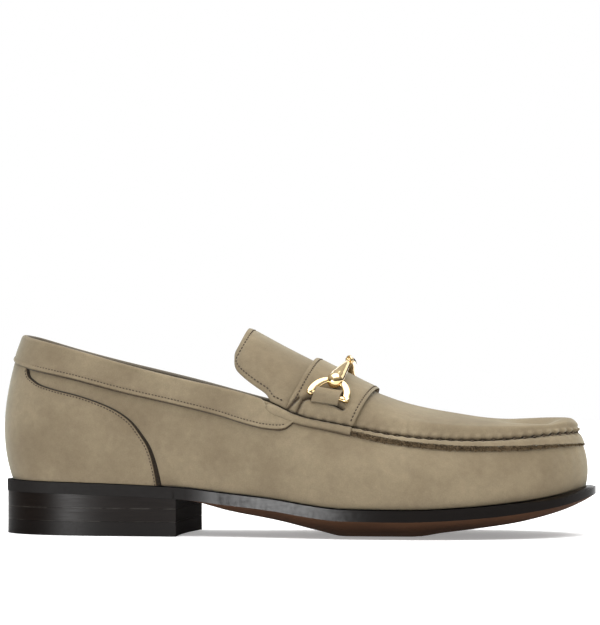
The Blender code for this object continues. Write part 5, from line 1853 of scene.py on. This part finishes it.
# Each side of the bit: which way it lies, how far up the strap its ring reaches, and its eye's radius, the
# way the eye faces and its turn
bit_sides = (
    ("outer", -1.0, 0.495, 2.2, Vector((0.4, 0, 1)), math.radians(40)),
    ("inner", 1.0, 0.48, 1.7, Vector((1, 0, -0.45)), 0.0),
)
for side, sign, top_up, eye_radius, eye_axis, eye_turn in bit_sides:
    feet, top, lean, joint = bit_frame(sign, top_up)
    add_piece(ring_mesh(feet, top), f"bit_ring_{side}_gold", "pale_gold", [pale_gold], f"bit_ring_{side}")
    bm = bar_mesh(top, lean, joint, eye_radius, eye_axis, eye_turn)
    add_piece(bm, f"bit_bar_{side}_gold", "pale_gold", [pale_gold], f"bit_bar_{side}")

# Floor, light and camera
# A plain white studio floor under a large soft light, with a weak light behind the shoe and a low strip of
# light that only shows in the gloss. A long lens, level with the shoe, sees its outer side from a little
# ahead.

FLOOR_SIZE, FLOOR_CLOUD = 1.6, 60.0
floor_paint = grained_finish(
    "white_floor",
    FLOOR_CLOUD,
    ("#f4f4f4", "#f8f8f8"),
    Roughness=0.8,
    Specular_IOR_Level=0.1,
    Emission_Color=(1, 1, 1, 1),
    Emission_Strength=0.3,
)
bm = bmesh.new()
bmesh.ops.create_grid(bm, x_segments=2, y_segments=2, size=FLOOR_SIZE)
floor_mesh = bpy.data.meshes.new("studio_floor")
bm.to_mesh(floor_mesh)
bm.free()
floor_mesh.materials.append(floor_paint)
floor = bpy.data.objects.new("studio_floor", floor_mesh)
bpy.context.scene.collection.objects.link(floor)

world = bpy.data.worlds.new("white_studio")
world.use_nodes = True
tree = world.node_tree
look = add_node(tree, "ShaderNodeTexCoord", {}).outputs["Generated"]
height = add_node(tree, "ShaderNodeSeparateXYZ", {0: look}).outputs["Z"]
glow = add_node(tree, "ShaderNodeMapRange", {0: height, 1: 0.0, 2: 0.8, 3: 0.0, 4: 0.8})
room = add_node(tree, "ShaderNodeBackground", {"Color": (1, 1, 1, 1), "Strength": glow.outputs[0]})
white = add_node(tree, "ShaderNodeBackground", {"Color": (1, 1, 1, 1), "Strength": 1.0})
seen = add_node(tree, "ShaderNodeLightPath", {}).outputs["Is Camera Ray"]
backdrop = add_node(tree, "ShaderNodeMixShader", {0: seen, 1: room.outputs[0], 2: white.outputs[0]})
tree.links.new(backdrop.outputs[0], tree.nodes["World Output"].inputs["Surface"])
bpy.context.scene.world = world
bpy.context.scene.view_settings.view_transform = "Standard"


def add_light(name, place, target, size, power):
    lamp = bpy.data.lights.new(name, "AREA")
    lamp.shape = "RECTANGLE"
    lamp.size, lamp.size_y = size
    lamp.energy = power
    made = bpy.data.objects.new(name, lamp)
    made.location = place
    made.rotation_euler = (Vector(target) - Vector(place)).to_track_quat("-Z", "Y").to_euler()
    bpy.context.scene.collection.objects.link(made)
    return made


# Each light: its place, what it points at, its width and height, and its power
add_light("overhead_softbox", (0.2, -0.25, 1.65), (0.05, 0.0, 0.0), (2.4, 2.0), 52.0)
strip_light = add_light("low_strip_light", (-0.92, -1.5, 0.13), (0.0, 0.0, 0.02), (0.3, 0.13), 85.0)
strip_light.visible_diffuse = False
add_light("back_softbox", (0.3, 1.4, 0.6), (0.1, 0.0, 0.0), (2.2, 0.6), 6.0)

AZIMUTH, ELEVATION = math.radians(8.0), math.radians(0.85)
CAMERA_DISTANCE = 2.6
IMAGE_WIDTH, IMAGE_HEIGHT, FLOOR_ROW = 600, 625, 534
MM_A_PIXEL = 0.5077
TARGET_X = 0.0012
target = Vector((TARGET_X, 0.0, (FLOOR_ROW - IMAGE_HEIGHT / 2) * MM_A_PIXEL * MM / math.cos(ELEVATION)))
away = Vector(
    (
        math.sin(AZIMUTH) * math.cos(ELEVATION),
        -math.cos(AZIMUTH) * math.cos(ELEVATION),
        math.sin(ELEVATION),
    )
)
lens = bpy.data.cameras.new("long_lens")
lens.sensor_fit = "HORIZONTAL"
lens.sensor_width = 36.0
lens.lens = lens.sensor_width * CAMERA_DISTANCE / (IMAGE_WIDTH * MM_A_PIXEL * MM)
camera = bpy.data.objects.new("camera", lens)
camera.location = target + away * CAMERA_DISTANCE
camera.rotation_euler = (-away).to_track_quat("-Z", "Y").to_euler()
bpy.context.scene.collection.objects.link(camera)
bpy.context.scene.camera = camera
